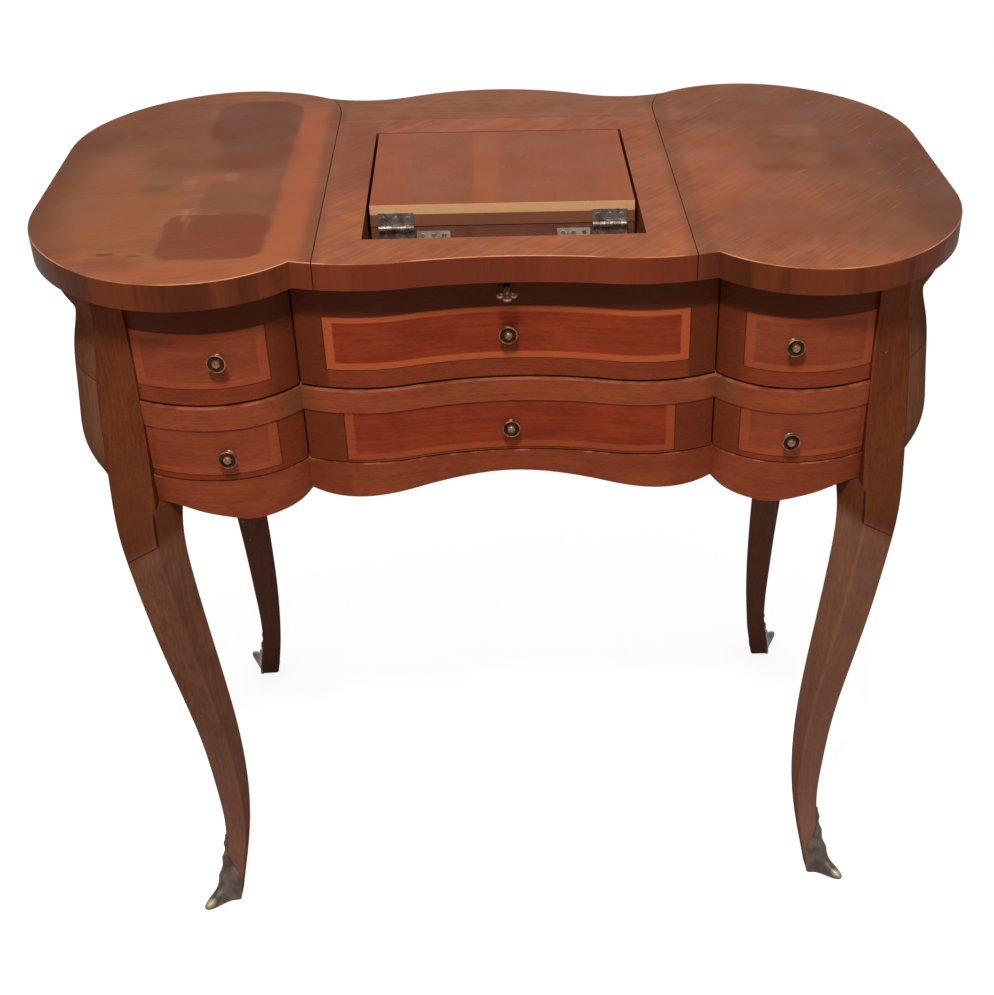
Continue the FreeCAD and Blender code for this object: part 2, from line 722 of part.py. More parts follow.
def build_drawers():
    save("center_drawer_1_front", make_centre_front())
    save("center_drawer_1_box", *drawer_box(-CENTRE_BOX_X, CENTRE_BOX_X, *BOX_1))
    save("center_drawer_1_floor", drawer_floor(-CENTRE_BOX_X, CENTRE_BOX_X, BOX_1[0]))
    save("center_drawer_1_knob", make_knob(0, KNOB_1_HIGH))
    save("drawer_lock", *make_lock())
    save("drawer_key", make_key())
    front = front_piece(-CENTRE_END_X, CENTRE_END_X, FRONT_2_LOW, FRONT_2_HIGH)
    save("center_drawer_2_front", front.cut(make_knob(0, KNOB_2_HIGH)))
    save("center_drawer_2_box", *drawer_box(-CENTRE_BOX_X, CENTRE_BOX_X, *BOX_2))
    save("center_drawer_2_floor", drawer_floor(-CENTRE_BOX_X, CENTRE_BOX_X, BOX_2[0]))
    save("center_drawer_2_knob", make_knob(0, KNOB_2_HIGH))
    front = front_piece(SIDE_START_X, FRONT_END_X, FRONT_2_LOW, FRONT_2_HIGH)
    knob = make_knob(KNOB_X_2, KNOB_2_HIGH)
    front = front.cut(knob)
    sides = drawer_box(*SIDE_BOX_X, *BOX_2)
    floor = drawer_floor(*SIDE_BOX_X, BOX_2[0])
    for name, turn in (("right", lambda shape: shape), ("left", mirrored)):
        save(name + "_drawer_front", turn(front))
        save(name + "_drawer_box", *[turn(board) for board in sides])
        save(name + "_drawer_floor", turn(floor))
        save(name + "_drawer_knob", turn(knob))


leg = make_leg()
build_case(leg)
build_top()
build_mirror()
build_drawers()
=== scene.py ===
import math

import bmesh
import bpy
from mathutils import Matrix, Vector


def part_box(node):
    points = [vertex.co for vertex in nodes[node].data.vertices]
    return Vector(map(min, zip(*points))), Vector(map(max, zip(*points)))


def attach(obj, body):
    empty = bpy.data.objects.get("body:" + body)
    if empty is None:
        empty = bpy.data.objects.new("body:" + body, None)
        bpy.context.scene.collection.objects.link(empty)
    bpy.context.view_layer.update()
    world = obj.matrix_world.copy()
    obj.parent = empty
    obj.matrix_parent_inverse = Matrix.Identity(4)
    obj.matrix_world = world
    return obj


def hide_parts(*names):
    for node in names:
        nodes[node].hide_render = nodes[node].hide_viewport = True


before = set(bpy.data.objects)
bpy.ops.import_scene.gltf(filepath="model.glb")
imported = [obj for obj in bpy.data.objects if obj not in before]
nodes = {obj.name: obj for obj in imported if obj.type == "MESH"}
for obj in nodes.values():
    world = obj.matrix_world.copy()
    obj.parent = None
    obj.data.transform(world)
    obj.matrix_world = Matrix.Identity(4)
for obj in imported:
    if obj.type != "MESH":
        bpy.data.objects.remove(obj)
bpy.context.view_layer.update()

# Camera, matched to the photograph
CAMERA_PLACE = Vector((-0.010, -1.4545, 1.242))
CAMERA_YAW = math.radians(4.33)
CAMERA_PITCH = math.radians(36.12)
CAMERA_ROLL = math.radians(0.33)
SENSOR = 36.0
PHOTO_HEIGHT = 995
FOCAL_PIXELS = 1533.0
SHIFT_X = -105.5 / PHOTO_HEIGHT
SHIFT_Y = 142.5 / PHOTO_HEIGHT

# A half length that reaches past the whole object
ANY = 9.0

# Heights of the lower edge of the painted shadow that the top casts on the fronts, of the ledge, and of the
# joint across the side panels
PAINTED_TOP_SHADOW_LOW = 0.683
LEDGE_HIGH = 0.6135
PANEL_JOINT = 0.6235

# The joint across a leg: its height at the leg's arris, the distance of that arris from the middle,
# how fast the joint falls outward, and the upper end of the painted shadow in the slit beside the arris
LEG_JOINT = 0.478
LEG_ARRIS = 0.330
LEG_JOINT_FALL = 0.78
SLIT_SHADOW_HIGH = 0.510

# Knob: how far it stands out, its radius, and its profile as rows of radius and distance from the front
KNOB_REACH = 0.014
KNOB_RADIUS = 0.0086
KNOB_FOOT = [(0.0026, -0.004), (0.0026, 0.0), (0.0052, 0.0), (0.0054, 0.0008), (0.0050, 0.0016)]
KNOB_NECK = [(0.0031, 0.0028), (0.0026, 0.0044), (0.0032, 0.0060), (0.0062, 0.0074), (0.0083, 0.0092)]
KNOB_RIM = [(0.0086, 0.0104), (0.0083, 0.0114), (0.0074, 0.0116)]
KNOB_GROOVE = [(0.0066, 0.0106), (0.0048, 0.0100)]
KNOB_BOSS = [(0.0040, 0.0112), (0.0036, 0.0128), (0.0024, 0.0137), (0.0, 0.0140)]
KNOB_STEPS = 24

# Key: how deep it sits in the lock, its shaft as rows of radius and distance from the front, and the
# three rings of its bow
KEY_DEEP = 0.0095
KEY_SHAFT = [
    (0.0019, -KEY_DEEP), (0.0019, 0.0068), (0.0030, 0.0072),
    (0.0030, 0.0088), (0.0018, 0.0092), (0.0017, 0.0170),
]
KEY_STEPS = 16
KEY_RINGS = ((-0.0050, 0.0214), (0.0050, 0.0214), (0.0, 0.0283))
KEY_RING_RADIUS = 0.0033
KEY_RING_THICK = 0.0013

# Shoe: its upper end, and the rows of points up it and to each side
SHOE_HIGH = 0.074
SHOE_ROWS = 56
SHOE_HALF = 32

# The leg inside the shoe: rows of height, middle along X and Y, width and turn in degrees, and the
# radius of its corners
LEG_ROWS = [
    (0.001, 0.3290, -0.2075, 0.0225, 88.0),
    (0.010, 0.3278, -0.2066, 0.0233, 86.9),
    (0.020, 0.3260, -0.2036, 0.0235, 86.4),
    (0.030, 0.3237, -0.1992, 0.0232, 86.2),
    (0.040, 0.3215, -0.1945, 0.0226, 86.0),
    (0.060, 0.3180, -0.1868, 0.0223, 84.5),
    (0.080, 0.3158, -0.1819, 0.0228, 82.0),
]
LEG_CORNER = 0.003

# How far round the leg the shoe's cup, its leaf and the leaf's scallops reach; the cup falls away
# from one height over another
CUP_REACH = 0.0175
CUP_FALL_FROM = 0.022
CUP_FALL_HIGH = 0.034
LEAF_REACH = 0.0055
SCALLOP_REACH = 0.0009
SCALLOP_WAVES = 3.2
SHOE_LEAST_REACH = 0.0005

# Relief of the shoe: its shell, the bumps along its leaf, and two scrolls as thickness, height at the
# arris, rise away from it, height and middle of the swelling, and its width
SHELL_THICK = 0.0012
SHELL_LEAST = 0.0004
SPINE_HEIGHTS = (0.064, 0.047, 0.029)
SPINE_THICK = 0.0021
SPINE_WIDE = 0.0042
SCROLLS = (
    (0.0014, 0.0405, 0.5, 0.0019, 0.006, 0.0055),
    (0.0012, 0.0300, 0.4, 0.0036, 0.008, 0.0060),
)

# Toe and instep: length, height, half height, half width and sharpness of each
TOE_WAY = Vector((0.60, -0.80, 0))
TOE_TIP = (0.3490, 0.2350, 0.0110)
TOE = (0.0225, 0.0055, 0.0078, 0.0082, 2.6)
INSTEP = (0.0035, 0.018, 0.009, 0.009, 2)

# Hinge screws: radius, height and taper of the head, half the width of its slot, steps round half a
# head, and how the slots turn
SCREW_RADIUS = 0.0021
SCREW_PROUD = 0.0005
SCREW_TAPER = 0.8
SCREW_SLOT = 0.00035
SCREW_STEPS = 12
SCREW_TURN = 0.6
SCREW_TURN_STEP = 1.1

# Rows of screws: body, distances from the middle, and the leaf's place along Y and Z
COVER_SCREWS = ("mirror_cover", (0.0865, 0.0975, 0.1085), -0.0939, 0.7292)
FRAME_SCREWS = ("mirror_rest", (0.0865, 0.0975, 0.1085), -0.0939, 0.7133)
TILT_SCREWS = ("mirror_rest", (0.0545, 0.0642, 0.0740), -0.0939, 0.7128)
WELL_SCREWS = ("case", (0.0560, 0.0642, 0.0725), -0.1075, 0.6954)


def paint(red, green, blue):
    """A colour given as sRGB numbers, as Blender stores it."""
    linear = []
    for part in (red, green, blue):
        level = part / 255
        linear.append(level / 12.92 if level <= 0.04045 else ((level + 0.055) / 1.055) ** 2.4)
    return (*linear, 1.0)


# Wood colours
LEFT_LIGHT = paint(162, 93, 54)
LEFT_DARK = paint(112, 64, 38)
RIGHT_LIGHT = paint(166, 96, 62)
RIGHT_DARK = paint(114, 63, 37)
STILE_LIGHT = paint(174, 98, 62)
STILE_DARK = paint(132, 72, 43)
TOP_ORANGE = paint(141, 82, 45)
TOP_BRIGHT = paint(166, 86, 49)
TOP_STAIN = paint(104, 49, 16)
TOP_OLIVE = paint(118, 68, 38)
TOP_RED = paint(110, 50, 18)
TOP_DARK_AND_SHADE = paint(96, 53, 27)
TOP_PALE = paint(188, 124, 88)
TOP_TAN = paint(140, 78, 50)
TOP_RUST = paint(120, 52, 24)
TOP_FALLOFF_SHADE = paint(100, 57, 36)
TOP_WARM = paint(132, 74, 44)
TOP_CHESTNUT = paint(126, 64, 34)
REAR_STRIP = paint(152, 94, 65)
COVER_RED_LIGHT = paint(158, 84, 52)
COVER_RED_DARK = paint(142, 75, 45)
COVER_BROWN_LIGHT = paint(148, 84, 54)
COVER_BROWN_DARK = paint(132, 74, 45)
COVER_ORANGE = paint(162, 92, 54)
EDGE_LIGHT = paint(105, 49, 27)
EDGE_DARK = paint(77, 36, 18)
EDGE_MIDDLE_TONE_AND_LIGHT = paint(132, 56, 34)
RIM_WEAR_AND_HIGHLIGHT = paint(226, 160, 120)
RAIL_LIGHT = paint(132, 56, 29)
RAIL_DARK = paint(112, 48, 26)
FIELD_LIGHT = paint(142, 55, 30)
FIELD_DARK = paint(112, 40, 19)
SIDE_FIELD_LIGHT = paint(142, 66, 40)
SIDE_FIELD_DARK = paint(122, 54, 32)
BAND = paint(174, 84, 46)
PAINTED_TOP_SHADOW = paint(79, 33, 15)
LINE = paint(40, 15, 8)
MARGIN_AND_SHADE = paint(90, 39, 17)
LEDGE_LIGHT = paint(146, 70, 42)
LEDGE_DARK = paint(126, 58, 34)
LEDGE_CORNER = paint(106, 66, 42)
APRON_LIGHT = paint(142, 66, 38)
APRON_DARK = paint(118, 53, 32)
LEG_LIGHT = paint(121, 62, 38)
LEG_DARK = paint(102, 50, 30)
LEG_BROWN = paint(92, 53, 33)
FOOT_LIGHT = paint(136, 90, 68)
FOOT_DARK = paint(102, 64, 47)
FOOT_PALE = paint(168, 118, 92)
FOOT_GREY = paint(118, 82, 74)
REAR_LEG_PAINTED_SHADE = paint(62, 32, 26)
SIDE_LIGHT = paint(138, 90, 68)
SIDE_DARK = paint(116, 74, 54)
CASE_LIGHT = paint(140, 98, 66)
CASE_DARK = paint(104, 68, 44)
OAK_LIGHT = paint(186, 146, 100)
OAK_DARK = paint(150, 110, 70)
MIRROR_WOOD_LIGHT = paint(130, 80, 60)
MIRROR_WOOD_DARK = paint(92, 52, 42)
PORE = paint(52, 24, 15)
PALE_STRIP_AND_HIGHLIGHT = paint(214, 164, 120)

# Metal and glass colours
BRASS_BRIGHT = paint(150, 104, 78)
BRASS_DULL = paint(72, 44, 30)
SHADED_BRASS_BRIGHT = paint(66, 36, 22)
SHADED_BRASS_DULL = paint(34, 16, 10)
BRONZE_BRIGHT = paint(90, 75, 66)
BRONZE_DULL = paint(60, 48, 42)
BRONZE_WORN_AND_GLINT = paint(206, 184, 150)
STEEL_BRIGHT = paint(168, 158, 150)
STEEL_DULL = paint(104, 92, 86)
LIT_HINGE_STEEL_BRIGHT = paint(200, 186, 178)
LIT_HINGE_STEEL_DULL = paint(150, 134, 126)
IRON_BRIGHT = paint(120, 112, 106)
IRON_DULL = paint(70, 62, 58)
SILVER = paint(225, 228, 226)
SILVER_SPOT = paint(120, 112, 100)

# Strength of the polish's reflections, depth of the grain in the top, and depth of a joint against the
# grain's
TOP_SHINE = 0.06
FRONT_SHINE = 0.06
SIDE_SHINE = 0.0
TOP_RELIEF = 0.0001
GROOVE_DEPTH = 2.0

# Direction of the grain in the parts of the top
LEFT_GRAIN = math.radians(12)
CENTRE_GRAIN = math.radians(48)
RIGHT_GRAIN = math.radians(50)

# Veneer of the top: the joint at the rear, the painted shade beside the seams with the lids, the seams of
# the strips on the cover, and where the cover's pale edge, partly a painted highlight, starts
REAR_JOINT = 0.155
LID_SEAM_SHADE = (0.157, 0.166)
COVER_SEAMS = (-0.084, -0.026, -0.001, 0.095)
PALE_EDGE_FRONT = -0.0915
PALE_EDGE_LOW = 0.7325

# Studio
STUDIO_WHITE = (1.0, 1.0, 1.0, 1.0)
BACKDROP_STRENGTH = 1.0
SKY_COLOUR = (1.0, 0.97, 0.94, 1.0)
SKY_STRENGTH = 0.31
FLOOR_HALF = 6.0
FLOOR_GREY = (0.55, 0.55, 0.55, 1.0)
FLOOR_GLOW = 0.83
# Lights: place, aim, size, watts and colour
LIGHTS = {
    "key": ((-0.15, -1.45, 2.45), (0, 0, 0.6), (0.32, 0.32), 42, (1, 0.96, 0.90)),
    "fill": ((0.4, -2.6, 1.0), (0, 0, 0.45), (2.2, 1.6), 7.4, (1, 0.96, 0.91)),
    "rear fill": ((-0.4, 2.4, 0.40), (0, 0, 0.45), (2.4, 0.6), 7, (1, 0.96, 0.91)),
}


def cube(size):
    return (size, size, size)


def node_tree(owner):
    owner.use_nodes = True
    tree = owner.node_tree
    tree.nodes.clear()
    return tree


class Graph:
    """A material's nodes, with short calls for those that the finishes share. Lengths are in metres."""

    def __init__(self, name):
        self.material = bpy.data.materials.new(name)
        self.tree = node_tree(self.material)
        coordinates = self.node("ShaderNodeTexCoord")
        self.place = coordinates.outputs["Object"]
        self.x, self.y, self.z = self.split(self.place)
        self.up = self.split(coordinates.outputs["Normal"])[2]

    def node(self, kind, **settings):
        made = self.tree.nodes.new(kind)
        for key, value in settings.items():
            setattr(made, key, value)
        return made

    def feed(self, socket, value):
        if isinstance(value, bpy.types.NodeSocket):
            self.tree.links.new(value, socket)
        else:
            socket.default_value = value

    def split(self, vector):
        made = self.node("ShaderNodeSeparateXYZ")
        self.feed(made.inputs[0], vector)
        return list(made.outputs)

    def math(self, operation, first, second=0.0):
        made = self.node("ShaderNodeMath", operation=operation)
        self.feed(made.inputs[0], first)
        self.feed(made.inputs[1], second)
        return made.outputs[0]

    def times(self, first, second):
        return self.math("MULTIPLY", first, second)

    def vector(self, operation, first, second=(0.0, 0.0, 0.0)):
        made = self.node("ShaderNodeVectorMath", operation=operation)
        self.feed(made.inputs[0], first)
        self.feed(made.inputs[1], second)
        return made.outputs["Value" if operation == "LENGTH" else "Vector"]

    def step(self, value, edge, soft, before=0.0, after=1.0):
        """Goes smoothly from one number before the edge to another after it."""
        made = self.node("ShaderNodeMapRange", interpolation_type="SMOOTHSTEP")
        self.feed(made.inputs["Value"], value)
        made.inputs["From Min"].default_value = edge - soft
        made.inputs["From Max"].default_value = edge + soft
        made.inputs["To Min"].default_value = before
        made.inputs["To Max"].default_value = after
        return made.outputs["Result"]

    def within(self, value, low, high, soft):
        away = self.math("ABSOLUTE", self.math("SUBTRACT", value, (low + high) / 2))
        return self.step(away, (high - low) / 2, soft, 1.0, 0.0)

    def mix(self, factor, first, second):
        made = self.node("ShaderNodeMix", data_type="RGBA")
        self.feed(made.inputs[0], factor)
        self.feed(made.inputs[6], first)
        self.feed(made.inputs[7], second)
        return made.outputs[2]

    def noise(self, size, turn=0.0, shift=0.0, detail=3.0):
        """Noise whose clouds have the given size along X, Y and Z, turned about Z."""
        place = self.node("ShaderNodeMapping", vector_type="TEXTURE")
        self.feed(place.inputs["Vector"], self.place)
        place.inputs["Location"].default_value = (shift, shift, shift)
        place.inputs["Rotation"].default_value = (0, 0, turn)
        place.inputs["Scale"].default_value = size
        made = self.node("ShaderNodeTexNoise")
        self.feed(made.inputs["Vector"], place.outputs[0])
        made.inputs["Scale"].default_value = 1.0
        made.inputs["Detail"].default_value = detail
        return made.outputs["Fac"]

    def patch(self, centre, half, corner=0.0, soft=0.001, wobble=0.0, turned=None):
        """1 inside a box with round corners and 0 outside; wobble makes its outline wander."""
        place = turned or self.place
        away = self.vector("ABSOLUTE", self.vector("SUBTRACT", place, centre))
        beyond = self.vector("SUBTRACT", away, [length - corner for length in half])
        outside = self.vector("LENGTH", self.vector("MAXIMUM", beyond))
        if wobble:
            wander = self.math("SUBTRACT", self.noise(cube(0.05)), 0.5)
            outside = self.math("ADD", outside, self.times(wander, wobble))
        return self.step(outside, max(corner, soft), soft, 1.0, 0.0)

    def both_sides(self):
        """The place with X as the distance from the middle, so that both sides look alike."""
        made = self.node("ShaderNodeCombineXYZ")
        self.feed(made.inputs[0], self.math("ABSOLUTE", self.x))
        self.feed(made.inputs[1], self.y)
        self.feed(made.inputs[2], self.z)
        return made.outputs[0]

    def finish(self, colour, roughness, height=None, depth=0.0002, **constants):
        shader = self.node("ShaderNodeBsdfPrincipled")
        self.feed(shader.inputs["Base Color"], colour)
        self.feed(shader.inputs["Roughness"], roughness)
        for key, value in constants.items():
            shader.inputs[key.replace("_", " ")].default_value = value
        if height is not None:
            raised = self.node("ShaderNodeBump")
            raised.inputs["Distance"].default_value = depth
            self.feed(raised.inputs["Height"], height)
            self.feed(shader.inputs["Normal"], raised.outputs[0])
        out = self.node("ShaderNodeOutputMaterial")
        self.feed(out.inputs["Surface"], shader.outputs[0])
        return self.material


# Wood


def stretched(length, short, across):
    """The size of clouds that are short along the axes named in across and long along the others."""
    return tuple(short if axis in across else length for axis in "xyz")


def wood(graph, light, dark, across, turn=0.0, shift=0.0, contrast=0.16, pores=0.14):
    """Colour and height of a wood whose fibres are narrow along the axes named in across."""
    clouds = graph.noise(stretched(0.16, 0.05, across), turn, shift)
    fibres = graph.noise(stretched(0.07, 0.0035, across), turn, shift, 4.0)
    fine = graph.noise(stretched(0.008, 0.0008, across), turn, shift, 2.0)
    spots = graph.noise(cube(0.022), 0.0, shift, 4.0)
    tone = graph.math("ADD", graph.times(clouds, 0.35), graph.times(fibres, 0.35))
    tone = graph.math("ADD", tone, graph.times(spots, 0.3))
    tone = graph.step(tone, 0.5, contrast)
    ticks = graph.step(fine, 0.62, 0.06)
    colour = graph.mix(tone, dark, light)
    colour = graph.mix(graph.times(ticks, pores), colour, PORE)
    height = graph.math("SUBTRACT", graph.times(tone, 0.3), ticks)
    return colour, height


def grooved(graph, height, lines):
    return graph.math("SUBTRACT", height, graph.times(lines, GROOVE_DEPTH))


def polish(graph):
    """Roughness of old polish, uneven by a little."""
    return graph.step(graph.noise(cube(0.05), shift=3.0), 0.5, 0.3, 0.42, 0.56)


def add_edge(graph, colour):
    """Adds the darker edge, redder near the middle and lighter there as painted light, and the worn rim with
    its painted highlight, to the colour of the upper face.
    """
    sections = graph.noise((0.05, 0.05, 0.4), shift=1.7)
    fibres = graph.noise((0.004, 0.004, 0.06), shift=0.4)
    tone = graph.math("ADD", graph.times(sections, 0.8), graph.times(fibres, 0.2))
    edge = graph.mix(graph.step(tone, 0.5, 0.1), EDGE_DARK, EDGE_LIGHT)
    # Redder at the middle, and lighter there as painted light, making up for lamp light the hollow middle
    # edge misses
    middle = graph.step(graph.math("ABSOLUTE", graph.x), 0.17, 0.03, 0.4, 0.0)
    edge = graph.mix(middle, edge, EDGE_MIDDLE_TONE_AND_LIGHT)
    upper = graph.step(graph.up, 0.55, 0.3)
    # The rim is worn, and also painted lighter as a highlight
    worn = graph.step(graph.noise(cube(0.05), shift=2.1), 0.48, 0.1, 0.05, 0.7)
    rim = graph.times(graph.within(graph.up, 0.5, 0.9, 0.12), worn)
    return graph.mix(rim, graph.mix(upper, edge, colour), RIM_WEAR_AND_HIGHLIGHT)


def add_scratches(graph, colour, turn, strength=0.5):
    """Short pale and dark lines along the grain."""
    lines = graph.noise(stretched(0.035, 0.0012, "y"), turn, 5.3, 1.0)
    where = graph.step(graph.noise(cube(0.09), shift=6.1), 0.52, 0.1)
    pale = graph.times(graph.times(graph.step(lines, 0.71, 0.04), where), strength * 0.6)
    dark = graph.times(graph.times(graph.step(lines, 0.30, 0.04, 1.0, 0.0), where), strength)
    return graph.mix(dark, graph.mix(pale, colour, TOP_PALE), TOP_DARK_AND_SHADE)


def add_patches(graph, colour, patches):
    for centre, half, corner, soft, wobble, tint, strength in patches:
        mask = graph.patch((*centre, 0), (*half, ANY), corner, soft, wobble)
        colour = graph.mix(graph.times(mask, strength), colour, tint)
    return colour


# Patches of the two lids: middle, half size, corner, softness, wobble, colour, strength; the rows marked
# below are painted shade, the others stains, marks and tones of the veneer
LEFT_PATCHES = [
    # Painted shade falling off towards the lid's outer edge
    ((-0.412, -0.04), (0.040, 0.17), 0.03, 0.025, 0.02, TOP_DARK_AND_SHADE, 0.9),
    ((-0.375, 0.14), (0.065, 0.09), 0.04, 0.040, 0.02, TOP_STAIN, 0.6),
    ((-0.345, -0.05), (0.050, 0.125), 0.03, 0.030, 0.03, TOP_ORANGE, 0.8),
    ((-0.187, 0.00), (0.016, 0.19), 0.01, 0.012, 0.01, TOP_BRIGHT, 0.8),
    ((-0.270, -0.232), (0.075, 0.020), 0.02, 0.016, 0.01, TOP_BRIGHT, 0.4),
    ((-0.190, -0.20), (0.020, 0.03), 0.02, 0.020, 0.02, TOP_BRIGHT, 0.5),
    ((-0.285, 0.09), (0.050, 0.110), 0.04, 0.040, 0.03, TOP_OLIVE, 0.7),
    ((-0.238, 0.00), (0.034, 0.160), 0.010, 0.003, 0.010, TOP_OLIVE, 0.85),
    ((-0.250, -0.02), (0.045, 0.030), 0.030, 0.025, 0.02, TOP_TAN, 0.5),
    ((-0.2465, 0.157), (0.0435, 0.066), 0.034, 0.004, 0.008, TOP_STAIN, 0.88),
    ((-0.240, 0.070), (0.036, 0.060), 0.030, 0.014, 0.02, TOP_STAIN, 0.6),
    ((-0.252, -0.156), (0.0450, 0.052), 0.016, 0.003, 0.010, TOP_RED, 0.8),
    ((-0.232, -0.165), (0.020, 0.035), 0.015, 0.010, 0.02, TOP_RUST, 0.7),
    # Painted shade along the seam beside the middle
    ((-0.1665, 0.0), (0.0055, 0.25), 0.003, 0.005, 0.008, TOP_DARK_AND_SHADE, 0.5),
    ((-0.318, -0.037), (0.011, 0.009), 0.009, 0.010, 0.02, TOP_DARK_AND_SHADE, 0.55),
    ((-0.312, 0.030), (0.020, 0.012), 0.010, 0.012, 0.02, TOP_DARK_AND_SHADE, 0.35),
    ((-0.290, -0.021), (0.006, 0.007), 0.006, 0.003, 0.0, TOP_PALE, 0.22),
    ((-0.253, -0.007), (0.006, 0.012), 0.006, 0.003, 0.0, TOP_PALE, 0.26),
    ((-0.272, -0.012), (0.022, 0.014), 0.014, 0.006, 0.02, TOP_PALE, 0.16),
    ((-0.283, -0.106), (0.0008, 0.013), 0.0008, 0.002, 0.012, TOP_PALE, 0.3),
    ((-0.272, -0.104), (0.017, 0.0006), 0.0006, 0.0016, 0.014, TOP_PALE, 0.25),
    ((-0.278, -0.130), (0.0008, 0.016), 0.0008, 0.002, 0.014, TOP_PALE, 0.2),
    ((-0.337, -0.194), (0.007, 0.002), 0.002, 0.002, 0.01, TOP_DARK_AND_SHADE, 0.9),
    ((-0.312, -0.198), (0.006, 0.003), 0.003, 0.002, 0.01, TOP_DARK_AND_SHADE, 0.9),
    ((-0.330, -0.215), (0.022, 0.012), 0.010, 0.010, 0.02, TOP_RED, 0.5),
]
RIGHT_PATCHES = [
    ((0.370, -0.01), (0.060, 0.21), 0.05, 0.050, 0.03, TOP_OLIVE, 0.85),
    ((0.300, 0.070), (0.070, 0.120), 0.06, 0.040, 0.04, TOP_OLIVE, 0.7),
    # Painted shade falling off towards the lid's outer edge
    ((0.405, -0.07), (0.036, 0.13), 0.02, 0.022, 0.02, TOP_FALLOFF_SHADE, 0.85),
    ((0.270, 0.205), (0.090, 0.045), 0.03, 0.030, 0.02, TOP_OLIVE, 0.7),
    ((0.400, 0.06), (0.030, 0.09), 0.03, 0.030, 0.02, TOP_STAIN, 0.5),
    # Painted shade along the seam beside the middle
    ((0.1690, 0.02), (0.0075, 0.24), 0.004, 0.006, 0.008, TOP_DARK_AND_SHADE, 0.4),
    ((0.267, -0.011), (0.024, 0.012), 0.011, 0.008, 0.02, TOP_STAIN, 0.6),
    ((0.276, 0.051), (0.020, 0.010), 0.010, 0.008, 0.02, TOP_STAIN, 0.5),
    ((0.334, 0.030), (0.010, 0.050), 0.010, 0.012, 0.03, TOP_STAIN, 0.4),
    ((0.300, 0.096), (0.022, 0.016), 0.012, 0.005, 0.02, TOP_PALE, 0.18),
    ((0.300, 0.015), (0.018, 0.016), 0.014, 0.008, 0.03, TOP_PALE, 0.12),
    ((0.208, -0.02), (0.034, 0.120), 0.03, 0.030, 0.02, TOP_BRIGHT, 0.35),
    ((0.245, -0.140), (0.050, 0.045), 0.03, 0.025, 0.03, TOP_WARM, 0.8),
]


def finish_top(graph, colour, height):
    """Closes a finish of the top, whose grain is shallower than elsewhere."""
    return graph.finish(colour, polish(graph), height, TOP_RELIEF, Specular_IOR_Level=TOP_SHINE)


def lid_finish(name, light, dark, patches, turn, scratches):
    """Veneer of a side lid with its stains and scratches, and painted shade at its outer edge and along its
    seam.
    """
    graph = Graph(name)
    colour, height = wood(graph, light, dark, "y", turn, shift=len(patches), contrast=0.22, pores=0.06)
    colour = add_patches(graph, colour, patches)
    colour = add_scratches(graph, colour, turn, scratches)
    return finish_top(graph, add_edge(graph, colour), height)


def centre_top_finish():
    """Slanting veneer with a darker patch at the left, and a strip along the rear with the grain across."""
    graph = Graph("center_top_wood")
    colour, height = wood(graph, STILE_LIGHT, STILE_DARK, "y", CENTRE_GRAIN, 4.2, contrast=0.2, pores=0.08)
    strip, _ = wood(graph, REAR_STRIP, TOP_OLIVE, "y", shift=8.0, contrast=0.2, pores=0.06)
    left = graph.patch((-0.137, 0.05, 0), (0.020, 0.10, ANY), 0.01, 0.008)
    colour = graph.mix(graph.times(left, 0.8), colour, TOP_CHESTNUT)
    rear = graph.step(graph.y, REAR_JOINT, 0.001)
    colour = graph.mix(graph.times(rear, 0.8), colour, strip)
    colour = add_scratches(graph, colour, CENTRE_GRAIN, 0.9)
    # Painted shade in bands beside the seams with the lids
    seams = graph.within(graph.math("ABSOLUTE", graph.x), *LID_SEAM_SHADE, 0.004)
    colour = graph.mix(graph.times(seams, 0.35), colour, TOP_DARK_AND_SHADE)
    joint = graph.within(graph.y, REAR_JOINT - 0.001, REAR_JOINT + 0.0005, 0.0005)
    colour = graph.mix(graph.times(joint, 0.6), colour, TOP_DARK_AND_SHADE)
    height = grooved(graph, height, joint)
    return finish_top(graph, add_edge(graph, colour), height)


def cover_finish():
    """Upright strips of veneer, redder and browner by turns, over a pale edge strip that is partly a painted
    highlight.
    """
    graph = Graph("cover_wood")
    colour, height = wood(graph, COVER_RED_LIGHT, COVER_RED_DARK, "x", shift=2.4, contrast=0.2, pores=0.06)
    mottled, _ = wood(graph, COVER_BROWN_LIGHT, COVER_BROWN_DARK, "xy", shift=7.4, pores=0.06)
    # Softness of each strip's seams, strength and colour
    strips = ((0.002, 0.8, mottled), (0.002, 0.5, COVER_ORANGE), (0.012, 0.55, mottled))
    for left, right, (soft, strength, tint) in zip(COVER_SEAMS, COVER_SEAMS[1:], strips):
        mask = graph.within(graph.x, left, right, soft)
        colour = graph.mix(graph.times(mask, strength), colour, tint)
    chips = graph.step(graph.noise(cube(0.006), shift=9.0, detail=2.0), 0.74, 0.02)
    colour = graph.mix(graph.times(chips, 0.5), colour, TOP_PALE)
    colour = graph.mix(graph.step(graph.up, 0.55, 0.3), MIRROR_WOOD_LIGHT, colour)
    # A pale strip along the cover's front edge, partly pale wood and partly a painted highlight
    front = graph.step(graph.y, PALE_EDGE_FRONT, 0.0004, 1.0, 0.0)
    above = graph.step(graph.z, PALE_EDGE_LOW, 0.0004)
    colour = graph.mix(graph.times(front, above), colour, PALE_STRIP_AND_HIGHLIGHT)
    return finish_top(graph, colour, height)


